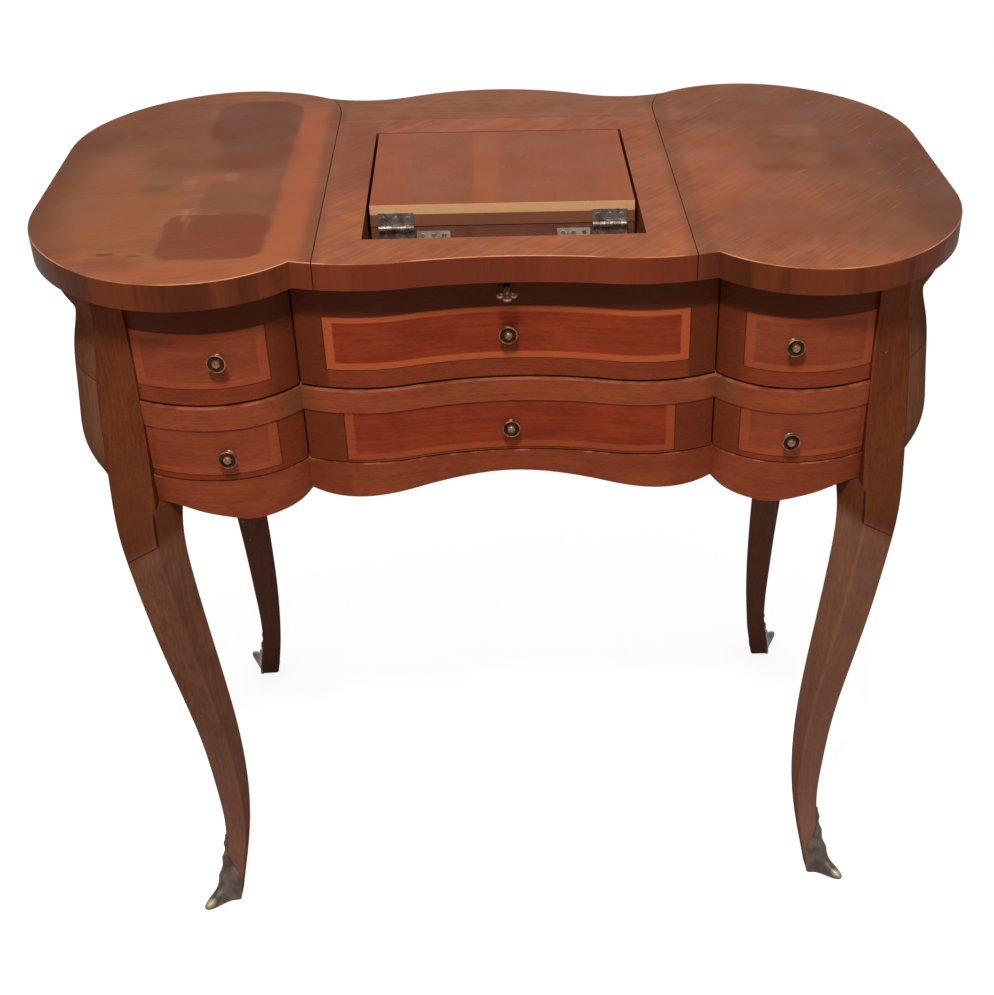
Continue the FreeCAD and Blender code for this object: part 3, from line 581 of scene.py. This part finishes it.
# Fields of the fronts: middle and half size; X is the distance from the middle
CENTRE_FIELD_1 = ((0.0, 0.0, 0.6590), (0.161, ANY, 0.0250))
CENTRE_FIELD_2 = ((0.0, 0.0, 0.5715), (0.150, ANY, 0.0280))
SIDE_FIELD_1 = ((0.267, 0.0, 0.6580), (0.057, ANY, 0.0260))
SIDE_FIELD_2 = ((0.270, 0.0, 0.5730), (0.060, ANY, 0.0260))
BAND_WIDE = 0.0085
BAND_HIGH = 0.0068
FIELD_LINE = 0.0009

# Finish of each kind of front: field, its light and dark colours, strength of the band and of the darker
# ends, which are partly darker veneer and partly painted shade by the cusps
FRONTS = {
    "center_front_wood": (CENTRE_FIELD_1, FIELD_LIGHT, FIELD_DARK, 0.85, 0.85),
    "lower_front_wood": (CENTRE_FIELD_2, FIELD_LIGHT, FIELD_DARK, 0.4, 0.6),
    "side_front_wood": (SIDE_FIELD_1, SIDE_FIELD_LIGHT, SIDE_FIELD_DARK, 0.35, 0.75),
    "low_side_front_wood": (SIDE_FIELD_2, SIDE_FIELD_LIGHT, SIDE_FIELD_DARK, 0.3, 0.45),
}

# Browner stretches of the ledge and of the apron, as distances from the middle, and the apron's worn rim,
# which also carries a painted highlight
LEDGE_CORNERS = (0.180, 0.205)
APRON_CORNERS = (CENTRE_FIELD_2[1][0], 0.192)
APRON_RIM = 0.5383


def grown(half, wide, high):
    return (half[0] + wide, half[1], half[2] + high)


def front_finish(name, field, light, dark, band_strength, end_and_shade_strength, shift):
    """A field inside a lighter band and a dark line, browner ends that are partly darker veneer and partly
    painted shade by the cusps, and a painted shadow of the top along the upper edge.
    """
    graph = Graph(name)
    sides = graph.both_sides()
    middle, half = field
    rail, height = wood(graph, RAIL_LIGHT, RAIL_DARK, "z", shift=shift)
    inside, _ = wood(graph, light, dark, "z", shift=shift + 2.7)
    line = graph.patch(middle, grown(half, FIELD_LINE, FIELD_LINE), soft=0.0004, turned=sides)
    frame_mask = graph.patch(middle, half, soft=0.0004, turned=sides)
    inner = graph.patch(middle, grown(half, -BAND_WIDE, -BAND_HIGH), soft=0.0008, turned=sides)
    # The ends beyond the field are darker: partly darker veneer, and at the inner ends of the side fronts
    # painted shade in the hollow by the cusp
    reach = graph.math("ABSOLUTE", graph.x)
    outer_end = graph.step(reach, middle[0] + half[0], 0.002)
    inner_end_shade = graph.step(reach, middle[0] - half[0], 0.010, 1.0, 0.0)
    ends = graph.math("MAXIMUM", outer_end, inner_end_shade)
    colour = graph.mix(graph.times(ends, end_and_shade_strength), rail, MARGIN_AND_SHADE)
    colour = graph.mix(graph.times(line, 0.6), colour, LINE)
    colour = graph.mix(frame_mask, colour, graph.mix(band_strength, inside, BAND))
    colour = graph.mix(inner, colour, inside)
    # Painted shadow that the top's overhang casts on the upper part of the front
    colour = graph.mix(graph.step(graph.z, PAINTED_TOP_SHADOW_LOW, 0.001), colour, PAINTED_TOP_SHADOW)
    height = grooved(graph, height, graph.math("SUBTRACT", line, frame_mask))
    return graph.finish(colour, polish(graph), height, Specular_IOR_Level=FRONT_SHINE)


def ledge_finish():
    """A paler rail, browner beside the middle front, with a worn upper edge that also carries a painted
    highlight.
    """
    graph = Graph("ledge_wood")
    colour, height = wood(graph, LEDGE_LIGHT, LEDGE_DARK, "z", shift=5.5)
    corners = graph.within(graph.math("ABSOLUTE", graph.x), *LEDGE_CORNERS, 0.008)
    colour = graph.mix(graph.times(corners, 0.6), colour, LEDGE_CORNER)
    # Worn upper edge, also painted lighter as a highlight
    edge_wear_and_glint = graph.step(graph.noise(cube(0.02), shift=1.1), 0.45, 0.12)
    rim = graph.times(graph.step(graph.z, LEDGE_HIGH - 0.0012, 0.0004), edge_wear_and_glint)
    colour = graph.mix(graph.times(rim, 0.22), colour, RIM_WEAR_AND_HIGHLIGHT)
    return graph.finish(colour, polish(graph), height, Specular_IOR_Level=FRONT_SHINE)


def apron_finish():
    graph = Graph("apron_wood")
    colour, height = wood(graph, APRON_LIGHT, APRON_DARK, "z", shift=9.5, contrast=0.18)
    corners = graph.within(graph.math("ABSOLUTE", graph.x), *APRON_CORNERS, 0.010)
    colour = graph.mix(graph.times(corners, 0.3), colour, MARGIN_AND_SHADE)
    # Worn upper edge, also painted lighter as a highlight
    edge_wear_and_glint = graph.step(graph.noise(cube(0.02), shift=4.1), 0.55, 0.08)
    rim = graph.times(graph.step(graph.z, APRON_RIM, 0.0004), edge_wear_and_glint)
    colour = graph.mix(graph.times(rim, 0.3), colour, RIM_WEAR_AND_HIGHLIGHT)
    return graph.finish(colour, polish(graph), height, Specular_IOR_Level=FRONT_SHINE)


def side_finish():
    graph = Graph("side_wood")
    colour, height = wood(graph, SIDE_LIGHT, SIDE_DARK, "xy", shift=1.5, contrast=0.2)
    joint = graph.within(graph.z, PANEL_JOINT - 0.0004, PANEL_JOINT + 0.0004, 0.0003)
    colour = graph.mix(graph.times(joint, 0.7), colour, LINE)
    # Painted shadow of the top's overhang on the side panel above its joint
    colour = graph.mix(graph.step(graph.z, PANEL_JOINT, 0.001, 0.0, 0.25), colour, MARGIN_AND_SHADE)
    height = grooved(graph, height, joint)
    return graph.finish(colour, polish(graph), height, Specular_IOR_Level=SIDE_SHINE)


def leg_finish():
    """Veneer above the joint, browner near it, and plain wood below, with a few pale chips; the lower rear
    legs are darker by painted shade, and a painted shadow fills the slit beside the arris.
    """
    graph = Graph("leg_wood")
    upper, height = wood(graph, LEG_LIGHT, LEG_DARK, "xy", shift=3.3)
    lower, _ = wood(graph, FOOT_LIGHT, FOOT_DARK, "xy", shift=6.3, contrast=0.2)
    lower = graph.mix(graph.step(graph.x, 0.0, 0.1, 0.0, 0.3), lower, FOOT_PALE)
    lower = graph.mix(graph.step(graph.z, 0.24, 0.13, 0.5, 0.0), lower, FOOT_GREY)
    # Painted shade darkening the lower rear legs
    lower = graph.mix(graph.step(graph.y, 0.0, 0.1, 0.0, 0.5), lower, REAR_LEG_PAINTED_SHADE)
    upper = graph.mix(graph.step(graph.z, 0.55, 0.05, 0.6, 0.0), upper, LEG_BROWN)
    out = graph.math("SUBTRACT", graph.math("ABSOLUTE", graph.x), LEG_ARRIS)
    outer_face = graph.step(out, -0.001, 0.0004)
    climb = graph.math("ADD", graph.z, graph.times(graph.math("MAXIMUM", out, 0.0), LEG_JOINT_FALL))
    colour = graph.mix(graph.step(climb, LEG_JOINT, 0.012), lower, upper)
    joint = graph.times(graph.within(climb, LEG_JOINT - 0.0005, LEG_JOINT + 0.0005, 0.0004), outer_face)
    # Painted shadow in the slit beside the arris, at the edge of the veneer panel
    slit_shadow = graph.times(
        graph.within(out, -0.0030, -0.0012, 0.0006),
        graph.within(graph.z, LEG_JOINT, SLIT_SHADOW_HIGH, 0.002),
    )
    joint_and_slit_shadow = graph.math("MAXIMUM", joint, slit_shadow)
    colour = graph.mix(graph.times(joint_and_slit_shadow, 0.8), colour, LINE)
    chips = graph.step(graph.noise(cube(0.005), shift=2.0, detail=1.0), 0.79, 0.012)
    colour = graph.mix(graph.times(chips, 0.55), colour, TOP_PALE)
    height = grooved(graph, height, joint_and_slit_shadow)
    return graph.finish(colour, polish(graph), height, Specular_IOR_Level=SIDE_SHINE)


def plain_wood(name, light, dark, across, rough, shift):
    """Dull wood that isn't veneered, darker where it is dirty."""
    graph = Graph(name)
    colour, height = wood(graph, light, dark, across, shift=shift, contrast=0.2)
    dirt = graph.step(graph.noise(cube(0.12), shift=shift + 1.0), 0.5, 0.2, 0.0, 0.35)
    return graph.finish(graph.mix(dirt, colour, dark), rough, height, Specular_IOR_Level=0.3)


# Metal and glass


def metal(name, bright, dull, low_rough, high_rough, shift=0.0, metallic=1.0, shine=0.5):
    """Clouds of bright and dull metal, rougher where it is dull."""
    graph = Graph(name)
    clouds = graph.noise(cube(0.008), shift=shift, detail=5.0)
    spots = graph.noise(cube(0.0012), shift=shift, detail=2.0)
    tarnish = graph.step(graph.math("ADD", graph.times(clouds, 0.7), graph.times(spots, 0.3)), 0.5, 0.1)
    rough = graph.step(clouds, 0.5, 0.2, high_rough, low_rough)
    colour = graph.mix(tarnish, dull, bright)
    relief = graph.math("ADD", clouds, spots)
    return graph.finish(colour, rough, relief, 0.00015, Metallic=metallic, Specular_IOR_Level=shine)


def bronze_finish():
    """Dark brown bronze, worn at the tip of the toe, where a painted highlight brightens it further."""
    graph = Graph("dark_bronze")
    clouds = graph.noise(cube(0.012), detail=4.0)
    colour = graph.mix(graph.step(clouds, 0.5, 0.15), BRONZE_DULL, BRONZE_BRIGHT)
    away = graph.vector("ABSOLUTE", graph.place)
    # Worn bronze at the toe's tip, brightened further as a painted highlight
    tip = graph.patch(TOE_TIP, (0.003, 0.003, 0.002), 0.002, 0.004, turned=away)
    colour = graph.mix(graph.times(tip, 0.8), colour, BRONZE_WORN_AND_GLINT)
    rough = graph.step(clouds, 0.5, 0.2, 0.5, 0.38)
    return graph.finish(colour, rough, clouds, 0.0002, Metallic=0.35, Specular_IOR_Level=0.4)


def mirror_finish():
    """Silvered glass with a few grey spots near its edges."""
    graph = Graph("silvered_glass")
    middle = graph.patch((0, 0.009, 0), (0.100, 0.080, ANY), 0.02, 0.012, 0.03)
    spots = graph.noise(cube(0.004), detail=3.0)
    aged = graph.step(graph.math("SUBTRACT", spots, graph.times(middle, 0.3)), 0.555, 0.05)
    colour = graph.mix(aged, SILVER, SILVER_SPOT)
    return graph.finish(colour, graph.step(aged, 0.5, 0.5, 0.03, 0.4), Metallic=1.0)


brass = metal("aged_brass", BRASS_BRIGHT, BRASS_DULL, 0.34, 0.5, metallic=0.5)
# Brass painted dark and dull as shade: it dresses the lock, which sits in the top's shadow, and the hollow
# of each knob
brass_painted_shade = metal("brass_painted_shade", SHADED_BRASS_BRIGHT, SHADED_BRASS_DULL, 0.5, 0.7, 4.0, metallic=0.0, shine=0.05)
bronze = bronze_finish()
steel = metal("hinge_steel", STEEL_BRIGHT, STEEL_DULL, 0.3, 0.5, 2.0, metallic=0.7)
# A paler, less metallic copy of the hinge steel, as painted light, so that the tilt hinges look lit
painted_lit_steel = metal("hinge_steel_painted_lit", LIT_HINGE_STEEL_BRIGHT, LIT_HINGE_STEEL_DULL, 0.35, 0.5, 2.5, metallic=0.4)
iron = metal("dark_iron", IRON_BRIGHT, IRON_DULL, 0.4, 0.6, 3.0)


def dress_nodes():
    """Gives each solid the finish of its own name, or else the one of its slot."""
    fronts = {}
    for shift, (name, choices) in enumerate(FRONTS.items(), start=1):
        fronts[name] = front_finish(name, *choices, shift)
    mirror_wood = (MIRROR_WOOD_LIGHT, MIRROR_WOOD_DARK)
    finishes = {
        "center_drawer_1_front": fronts["center_front_wood"],
        "center_drawer_2_front": fronts["lower_front_wood"],
        "false_front_left": fronts["side_front_wood"],
        "false_front_right": fronts["side_front_wood"],
        "left_drawer_front": fronts["low_side_front_wood"],
        "right_drawer_front": fronts["low_side_front_wood"],
        "ledge_rail": ledge_finish(),
        "apron": apron_finish(),
        "center_top": centre_top_finish(),
        "lid_left": lid_finish("left_lid_wood", LEFT_LIGHT, LEFT_DARK, LEFT_PATCHES, LEFT_GRAIN, 0.45),
        "lid_right": lid_finish("right_lid_wood", RIGHT_LIGHT, RIGHT_DARK, RIGHT_PATCHES, RIGHT_GRAIN, 0.9),
        "mirror_lid": cover_finish(),
        "drawer_lock": brass_painted_shade,
        "tilt_hinge_upper": painted_lit_steel,
        "tilt_hinge_lower": painted_lit_steel,
        "mirror_frame": plain_wood("mirror_frame_wood", *mirror_wood, "z", 0.55, 5.0),
    }
    by_slot = {
        "side_veneer": side_finish(),
        "leg_veneer": leg_finish(),
        "case_wood": plain_wood("case_board_wood", CASE_LIGHT, CASE_DARK, "y", 0.7, 6.0),
        "drawer_wood": plain_wood("drawer_oak", OAK_LIGHT, OAK_DARK, "z", 0.65, 7.0),
        "brass": brass,
        "bronze": bronze,
        "hinge_metal": steel,
        "iron": iron,
        "mirror_glass": mirror_finish(),
    }
    for name, node in nodes.items():
        for place in node.material_slots:
            slot = place.material.name.split(".")[0]
            place.material = finishes.get(name) or by_slot[slot]


# Turned and cast pieces


def add_turned(mesh, profile, place, steps, shaded_rows=()):
    """Adds a turned form that points forward from the place; profile rows are radius and reach.
    The faces that start at the listed rows take the piece's second material, which on the knobs is brass
    painted dark as shade in their hollow."""
    rings = []
    for radius, reach in profile:
        if radius == 0:
            rings.append([mesh.verts.new((place.x, place.y - reach, place.z))])
            continue
        ring = []
        for index in range(steps):
            angle = math.tau * index / steps
            offset = Vector((radius * math.cos(angle), -reach, radius * math.sin(angle)))
            ring.append(mesh.verts.new(place + offset))
        rings.append(ring)
    for row, (near, far) in enumerate(zip(rings, rings[1:])):
        for index in range(steps):
            after = (index + 1) % steps
            corners = [near[index], near[after]]
            corners += [far[0]] if len(far) == 1 else [far[after], far[index]]
            mesh.faces.new(corners).material_index = int(row in shaded_rows)
    for ring in (rings[0], rings[-1]):
        if len(ring) > 1:
            mesh.faces.new(ring)


def add_ring(mesh, place, radius, thick, steps=24, around=10):
    """Adds a flat-lying ring."""
    rings = []
    for index in range(steps):
        angle = math.tau * index / steps
        out = Vector((math.cos(angle), math.sin(angle), 0))
        ring = []
        for turn in range(around):
            lean = math.tau * turn / around
            lift = Vector((0, 0, thick * math.sin(lean)))
            ring.append(mesh.verts.new(place + out * (radius + thick * math.cos(lean)) + lift))
        rings.append(ring)
    for index in range(steps):
        near, far = rings[index], rings[(index + 1) % steps]
        for turn in range(around):
            after = (turn + 1) % around
            mesh.faces.new((near[turn], near[after], far[after], far[turn]))


def make_piece(name, mesh, materials, body, smooth=True, levels=0):
    """Makes an object of the mesh that rides on the body, rounded by levels of subdivision."""
    bmesh.ops.recalc_face_normals(mesh, faces=mesh.faces[:])
    data = bpy.data.meshes.new(name)
    mesh.to_mesh(data)
    mesh.free()
    for material in materials:
        data.materials.append(material)
    for face in data.polygons:
        face.use_smooth = smooth
    piece = bpy.data.objects.new(name, data)
    bpy.context.scene.collection.objects.link(piece)
    if levels:
        rounding = piece.modifiers.new("rounding", "SUBSURF")
        rounding.levels = levels
        rounding.render_levels = levels
    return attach(piece, body)


def add_knobs():
    profile = KNOB_FOOT + KNOB_NECK + KNOB_RIM + KNOB_GROOVE + KNOB_BOSS
    groove = len(profile) - len(KNOB_GROOVE) - len(KNOB_BOSS)
    # The rows round the knob's groove, painted dark as shade in its hollow
    shaded_rows = range(groove - 1, groove + len(KNOB_GROOVE))
    owners = {
        "center_drawer_1_knob": "center_drawer_1",
        "center_drawer_2_knob": "center_drawer_2",
        "left_drawer_knob": "left_drawer",
        "right_drawer_knob": "right_drawer",
        "false_front_knobs": "case",
    }
    for node, body in owners.items():
        low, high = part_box(node)
        face = low.y + KNOB_REACH
        level = (low.z + high.z) / 2
        spots = {low.x + KNOB_RADIUS, high.x - KNOB_RADIUS} if body == "case" else {(low.x + high.x) / 2}
        mesh = bmesh.new()
        for x in sorted(spots):
            add_turned(mesh, profile, Vector((x, face, level)), KNOB_STEPS, shaded_rows)
        piece = make_piece(f"{node}_turned", mesh, (brass, brass_painted_shade), body, levels=1)
        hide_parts(node)


def add_key():
    low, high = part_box("drawer_key")
    face = high.y - KEY_DEEP
    place = Vector((0, face, (low.z + high.z) / 2))
    mesh = bmesh.new()
    add_turned(mesh, KEY_SHAFT, place, KEY_STEPS)
    for x, reach in KEY_RINGS:
        add_ring(mesh, place + Vector((x, -reach, 0)), KEY_RING_RADIUS, KEY_RING_THICK)
    piece = make_piece("drawer_key_cast", mesh, [brass], "key")
    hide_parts("drawer_key")


def leg_row(level):
    """Middle, width and turn of the leg at this height, on a smooth line through the rows."""
    index = 0
    while index < len(LEG_ROWS) - 2 and level > LEG_ROWS[index + 1][0]:
        index += 1
    before, first = LEG_ROWS[max(index - 1, 0)], LEG_ROWS[index]
    second, after = LEG_ROWS[index + 1], LEG_ROWS[min(index + 2, len(LEG_ROWS) - 1)]
    gap = second[0] - first[0]
    part = (level - first[0]) / gap
    result = []
    for a, b, c, d in zip(before[1:], first[1:], second[1:], after[1:]):
        start_slope = (c - a) * gap / (second[0] - before[0])
        end_slope = (d - b) * gap / (after[0] - first[0])
        bend = (2 * part ** 3 - 3 * part ** 2 + 1) * b + (3 * part ** 2 - 2 * part ** 3) * c
        lean = (part ** 3 - 2 * part ** 2 + part) * start_slope + (part ** 3 - part ** 2) * end_slope
        result.append(bend + lean)
    return result


def bump(value, middle, width, power=2):
    """1 at the middle, falling smoothly to 0 on both sides."""
    return math.exp(-abs((value - middle) / width) ** power)


def shoe_reach(level):
    """How far round the leg the shoe reaches at this height, from the outer arris."""
    share = level / SHOE_HIGH
    fall = min(max((level - CUP_FALL_FROM) / CUP_FALL_HIGH, 0), 1)
    cup = CUP_REACH * (1 - fall * fall * (3 - 2 * fall))
    leaf = LEAF_REACH * (1 - share)
    scallop = SCALLOP_REACH * math.sin(share * math.tau * SCALLOP_WAVES) * (1 - share)
    return max(cup + leaf + scallop, SHOE_LEAST_REACH)


def shoe_relief(level, along):
    """How far the bronze stands out of the leg: a thin shell, the bumps of the leaf and two scrolls."""
    inward = min(abs(along) / shoe_reach(level), 1.0)
    shell = SHELL_THICK * (1 - inward ** 6) + SHELL_LEAST
    relief = sum(SPINE_THICK * bump(level, height, SPINE_WIDE) for height in SPINE_HEIGHTS)
    relief *= bump(along, 0, SPINE_WIDE)
    for thick, height, rise, high, middle, wide in SCROLLS:
        relief += thick * bump(level, height + rise * abs(along), high) * bump(abs(along), middle, wide)
    return shell + relief * (1 - inward ** 4)


def toe_reach(level, along):
    """How far the shoe is drawn out into the toe, and a little into the instep above it."""
    total = 0
    for length, height, high, wide, power in (TOE, INSTEP):
        total += length * bump(level, height, high, power) * bump(along, 0, wide, power)
    return total


def around_leg(level, along, lift):
    """A point on the leg's skin, this far round from its outer arris, lifted off by lift."""
    x, y, width, degrees = leg_row(level)
    turn = math.radians(degrees)
    front = Vector((math.cos(turn), -math.sin(turn), 0))
    outside = Vector((math.sin(turn), math.cos(turn), 0))
    across, beside = (front, outside) if along < 0 else (outside, front)
    flat = width / 2 - LEG_CORNER
    bend = LEG_CORNER * math.pi / 2
    left = abs(along) + bend / 2
    for index, middle in enumerate(((flat, flat), (flat, -flat), (-flat, -flat))):
        angle = math.pi / 2 * (1 - index) - min(left, bend) / LEG_CORNER
        slide = min(max(left - bend, 0), 2 * flat)
        if left <= bend + 2 * flat:
            break
        left -= bend + 2 * flat
    radius = LEG_CORNER + lift
    u = middle[0] + radius * math.cos(angle) + slide * math.sin(angle)
    v = middle[1] + radius * math.sin(angle) - slide * math.cos(angle)
    return Vector((x, y, level)) + across * u + beside * v


def add_skin(mesh, grid, flip_x, flip_y):
    """Adds a grid of points as faces, flipped over to its own corner of the table."""
    rows = []
    for row in grid:
        rows.append([mesh.verts.new((spot.x * flip_x, spot.y * flip_y, spot.z)) for spot in row])
    for near, far in zip(rows, rows[1:]):
        for index in range(len(near) - 1):
            mesh.faces.new((near[index], near[index + 1], far[index + 1], far[index]))
    return rows


def border(rows):
    """The points round the edge of a grid."""
    ends = [row[-1] for row in rows[1:]]
    starts = [row[0] for row in rows[-2:0:-1]]
    return rows[0] + ends + rows[-1][-2::-1] + starts


def add_shoes():
    levels = [SHOE_HIGH * index / SHOE_ROWS for index in range(SHOE_ROWS + 1)]
    shares = [index / SHOE_HALF - 1 for index in range(2 * SHOE_HALF + 1)]
    outer = []
    inner = []
    for level in levels:
        reach = shoe_reach(level)
        places = [reach * share * math.sqrt(abs(share)) for share in shares]
        outer.append([
            around_leg(level, along, shoe_relief(level, along)) + TOE_WAY * toe_reach(level, along)
            for along in places
        ])
        inner.append([around_leg(level, along, -SHELL_LEAST) for along in places])
    for node in ("sabot_front_left", "sabot_front_right", "sabot_rear_left", "sabot_rear_right"):
        flip_x = -1 if node.endswith("left") else 1
        flip_y = -1 if "rear" in node else 1
        mesh = bmesh.new()
        skins = [border(add_skin(mesh, grid, flip_x, flip_y)) for grid in (outer, inner)]
        for index in range(len(skins[0])):
            after = index - 1
            mesh.faces.new((skins[0][index], skins[0][after], skins[1][after], skins[1][index]))
        piece = make_piece(f"{node}_cast", mesh, [bronze], "case")
        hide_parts(node)


def add_screw(mesh, place, normal, turn):
    """Adds a low domed head made of two halves with a slot between them."""
    across = normal.orthogonal().normalized()
    along = normal.cross(across)
    for side in (1, -1):
        lower = []
        upper = []
        for index in range(SCREW_STEPS + 1):
            angle = math.pi * index / SCREW_STEPS
            u = SCREW_RADIUS * math.cos(angle)
            v = side * (SCREW_SLOT + (SCREW_RADIUS - SCREW_SLOT) * math.sin(angle))
            flat_u = u * math.cos(turn) - v * math.sin(turn)
            flat_v = u * math.sin(turn) + v * math.cos(turn)
            offset = across * flat_u + along * flat_v
            lower.append(mesh.verts.new(place + offset))
            upper.append(mesh.verts.new(place + offset * SCREW_TAPER + normal * SCREW_PROUD))
        for index in range(SCREW_STEPS):
            mesh.faces.new((lower[index], lower[index + 1], upper[index + 1], upper[index]))
        mesh.faces.new((lower[-1], lower[0], upper[0], upper[-1]))
        mesh.faces.new(upper)
        mesh.faces.new(lower)


def add_hinge_screws():
    forward = Vector((0, -1, 0))
    upward = Vector((0, 0, 1))
    rows = {
        "cover_screws": (*COVER_SCREWS, forward),
        "frame_screws": (*FRAME_SCREWS, forward),
        "tilt_screws": (*TILT_SCREWS, forward),
        "well_screws": (*WELL_SCREWS, upward),
    }
    for name, (body, places, y, z, normal) in rows.items():
        mesh = bmesh.new()
        for index, x in enumerate(places):
            for side in (1, -1):
                turn = SCREW_TURN + SCREW_TURN_STEP * index * side
                add_screw(mesh, Vector((side * x, y, z)), normal, turn)
        make_piece(name, mesh, [steel], body, smooth=False)


# Studio


def add_camera():
    data = bpy.data.cameras.new("camera")
    data.sensor_width = SENSOR
    data.lens = SENSOR * FOCAL_PIXELS / PHOTO_HEIGHT
    data.shift_x = SHIFT_X
    data.shift_y = SHIFT_Y
    camera = bpy.data.objects.new("camera", data)
    bpy.context.scene.collection.objects.link(camera)
    ahead = Vector((
        math.sin(CAMERA_YAW) * math.cos(CAMERA_PITCH),
        math.cos(CAMERA_YAW) * math.cos(CAMERA_PITCH),
        -math.sin(CAMERA_PITCH),
    ))
    level = Vector((math.cos(CAMERA_YAW), -math.sin(CAMERA_YAW), 0))
    above = level.cross(ahead)
    right = level * math.cos(CAMERA_ROLL) + above * math.sin(CAMERA_ROLL)
    up = above * math.cos(CAMERA_ROLL) - level * math.sin(CAMERA_ROLL)
    turn = Matrix((right, up, -ahead)).transposed()
    camera.matrix_world = Matrix.Translation(CAMERA_PLACE) @ turn.to_4x4()
    bpy.context.scene.camera = camera


def add_area_light(name, place, aim, size, watts, colour):
    data = bpy.data.lights.new(name, "AREA")
    data.shape = "RECTANGLE"
    data.size, data.size_y = size
    data.energy = watts
    data.color = colour
    lamp = bpy.data.objects.new(name, data)
    bpy.context.scene.collection.objects.link(lamp)
    lamp.location = place
    lamp.rotation_euler = (Vector(aim) - Vector(place)).to_track_quat("-Z", "Y").to_euler()


def seen_directly(tree):
    """1 for rays that come from the camera, a mirror or glass, which see the white backdrop."""
    path = tree.nodes.new("ShaderNodeLightPath")
    total = path.outputs["Is Camera Ray"]
    for name in ("Is Glossy Ray", "Is Transmission Ray"):
        most = tree.nodes.new("ShaderNodeMath")
        most.operation = "MAXIMUM"
        tree.links.new(total, most.inputs[0])
        tree.links.new(path.outputs[name], most.inputs[1])
        total = most.outputs[0]
    return total


def add_world():
    world = bpy.data.worlds.new("studio")
    bpy.context.scene.world = world
    tree = node_tree(world)
    plain = tree.nodes.new("ShaderNodeBackground")
    plain.inputs["Color"].default_value = SKY_COLOUR
    plain.inputs["Strength"].default_value = SKY_STRENGTH
    white = tree.nodes.new("ShaderNodeBackground")
    white.inputs["Color"].default_value = STUDIO_WHITE
    white.inputs["Strength"].default_value = BACKDROP_STRENGTH
    mix = tree.nodes.new("ShaderNodeMixShader")
    out = tree.nodes.new("ShaderNodeOutputWorld")
    tree.links.new(seen_directly(tree), mix.inputs["Fac"])
    tree.links.new(plain.outputs[0], mix.inputs[1])
    tree.links.new(white.outputs[0], mix.inputs[2])
    tree.links.new(mix.outputs[0], out.inputs["Surface"])


def add_floor():
    """A pale floor that glows a little to the camera, so that it is white and keeps the shadow."""
    mesh = bpy.data.meshes.new("floor")
    corners = [(x * FLOOR_HALF, y * FLOOR_HALF, 0) for x, y in ((-1, -1), (1, -1), (1, 1), (-1, 1))]
    mesh.from_pydata(corners, [], [(0, 1, 2, 3)])
    floor = bpy.data.objects.new("floor", mesh)
    bpy.context.scene.collection.objects.link(floor)
    material = bpy.data.materials.new("floor")
    tree = node_tree(material)
    shader = tree.nodes.new("ShaderNodeBsdfDiffuse")
    shader.inputs["Color"].default_value = FLOOR_GREY
    glow = tree.nodes.new("ShaderNodeEmission")
    glow.inputs["Color"].default_value = STUDIO_WHITE
    strength = tree.nodes.new("ShaderNodeMath")
    strength.operation = "MULTIPLY"
    strength.inputs[1].default_value = FLOOR_GLOW
    total = tree.nodes.new("ShaderNodeAddShader")
    out = tree.nodes.new("ShaderNodeOutputMaterial")
    tree.links.new(seen_directly(tree), strength.inputs[0])
    tree.links.new(strength.outputs[0], glow.inputs["Strength"])
    tree.links.new(shader.outputs[0], total.inputs[0])
    tree.links.new(glow.outputs[0], total.inputs[1])
    tree.links.new(total.outputs[0], out.inputs["Surface"])
    mesh.materials.append(material)


bpy.context.scene.view_settings.view_transform = "Standard"
dress_nodes()
add_knobs()
add_key()
add_shoes()
add_hinge_screws()
add_camera()
add_world()
add_floor()
for light, settings in LIGHTS.items():
    add_area_light(light, *settings)
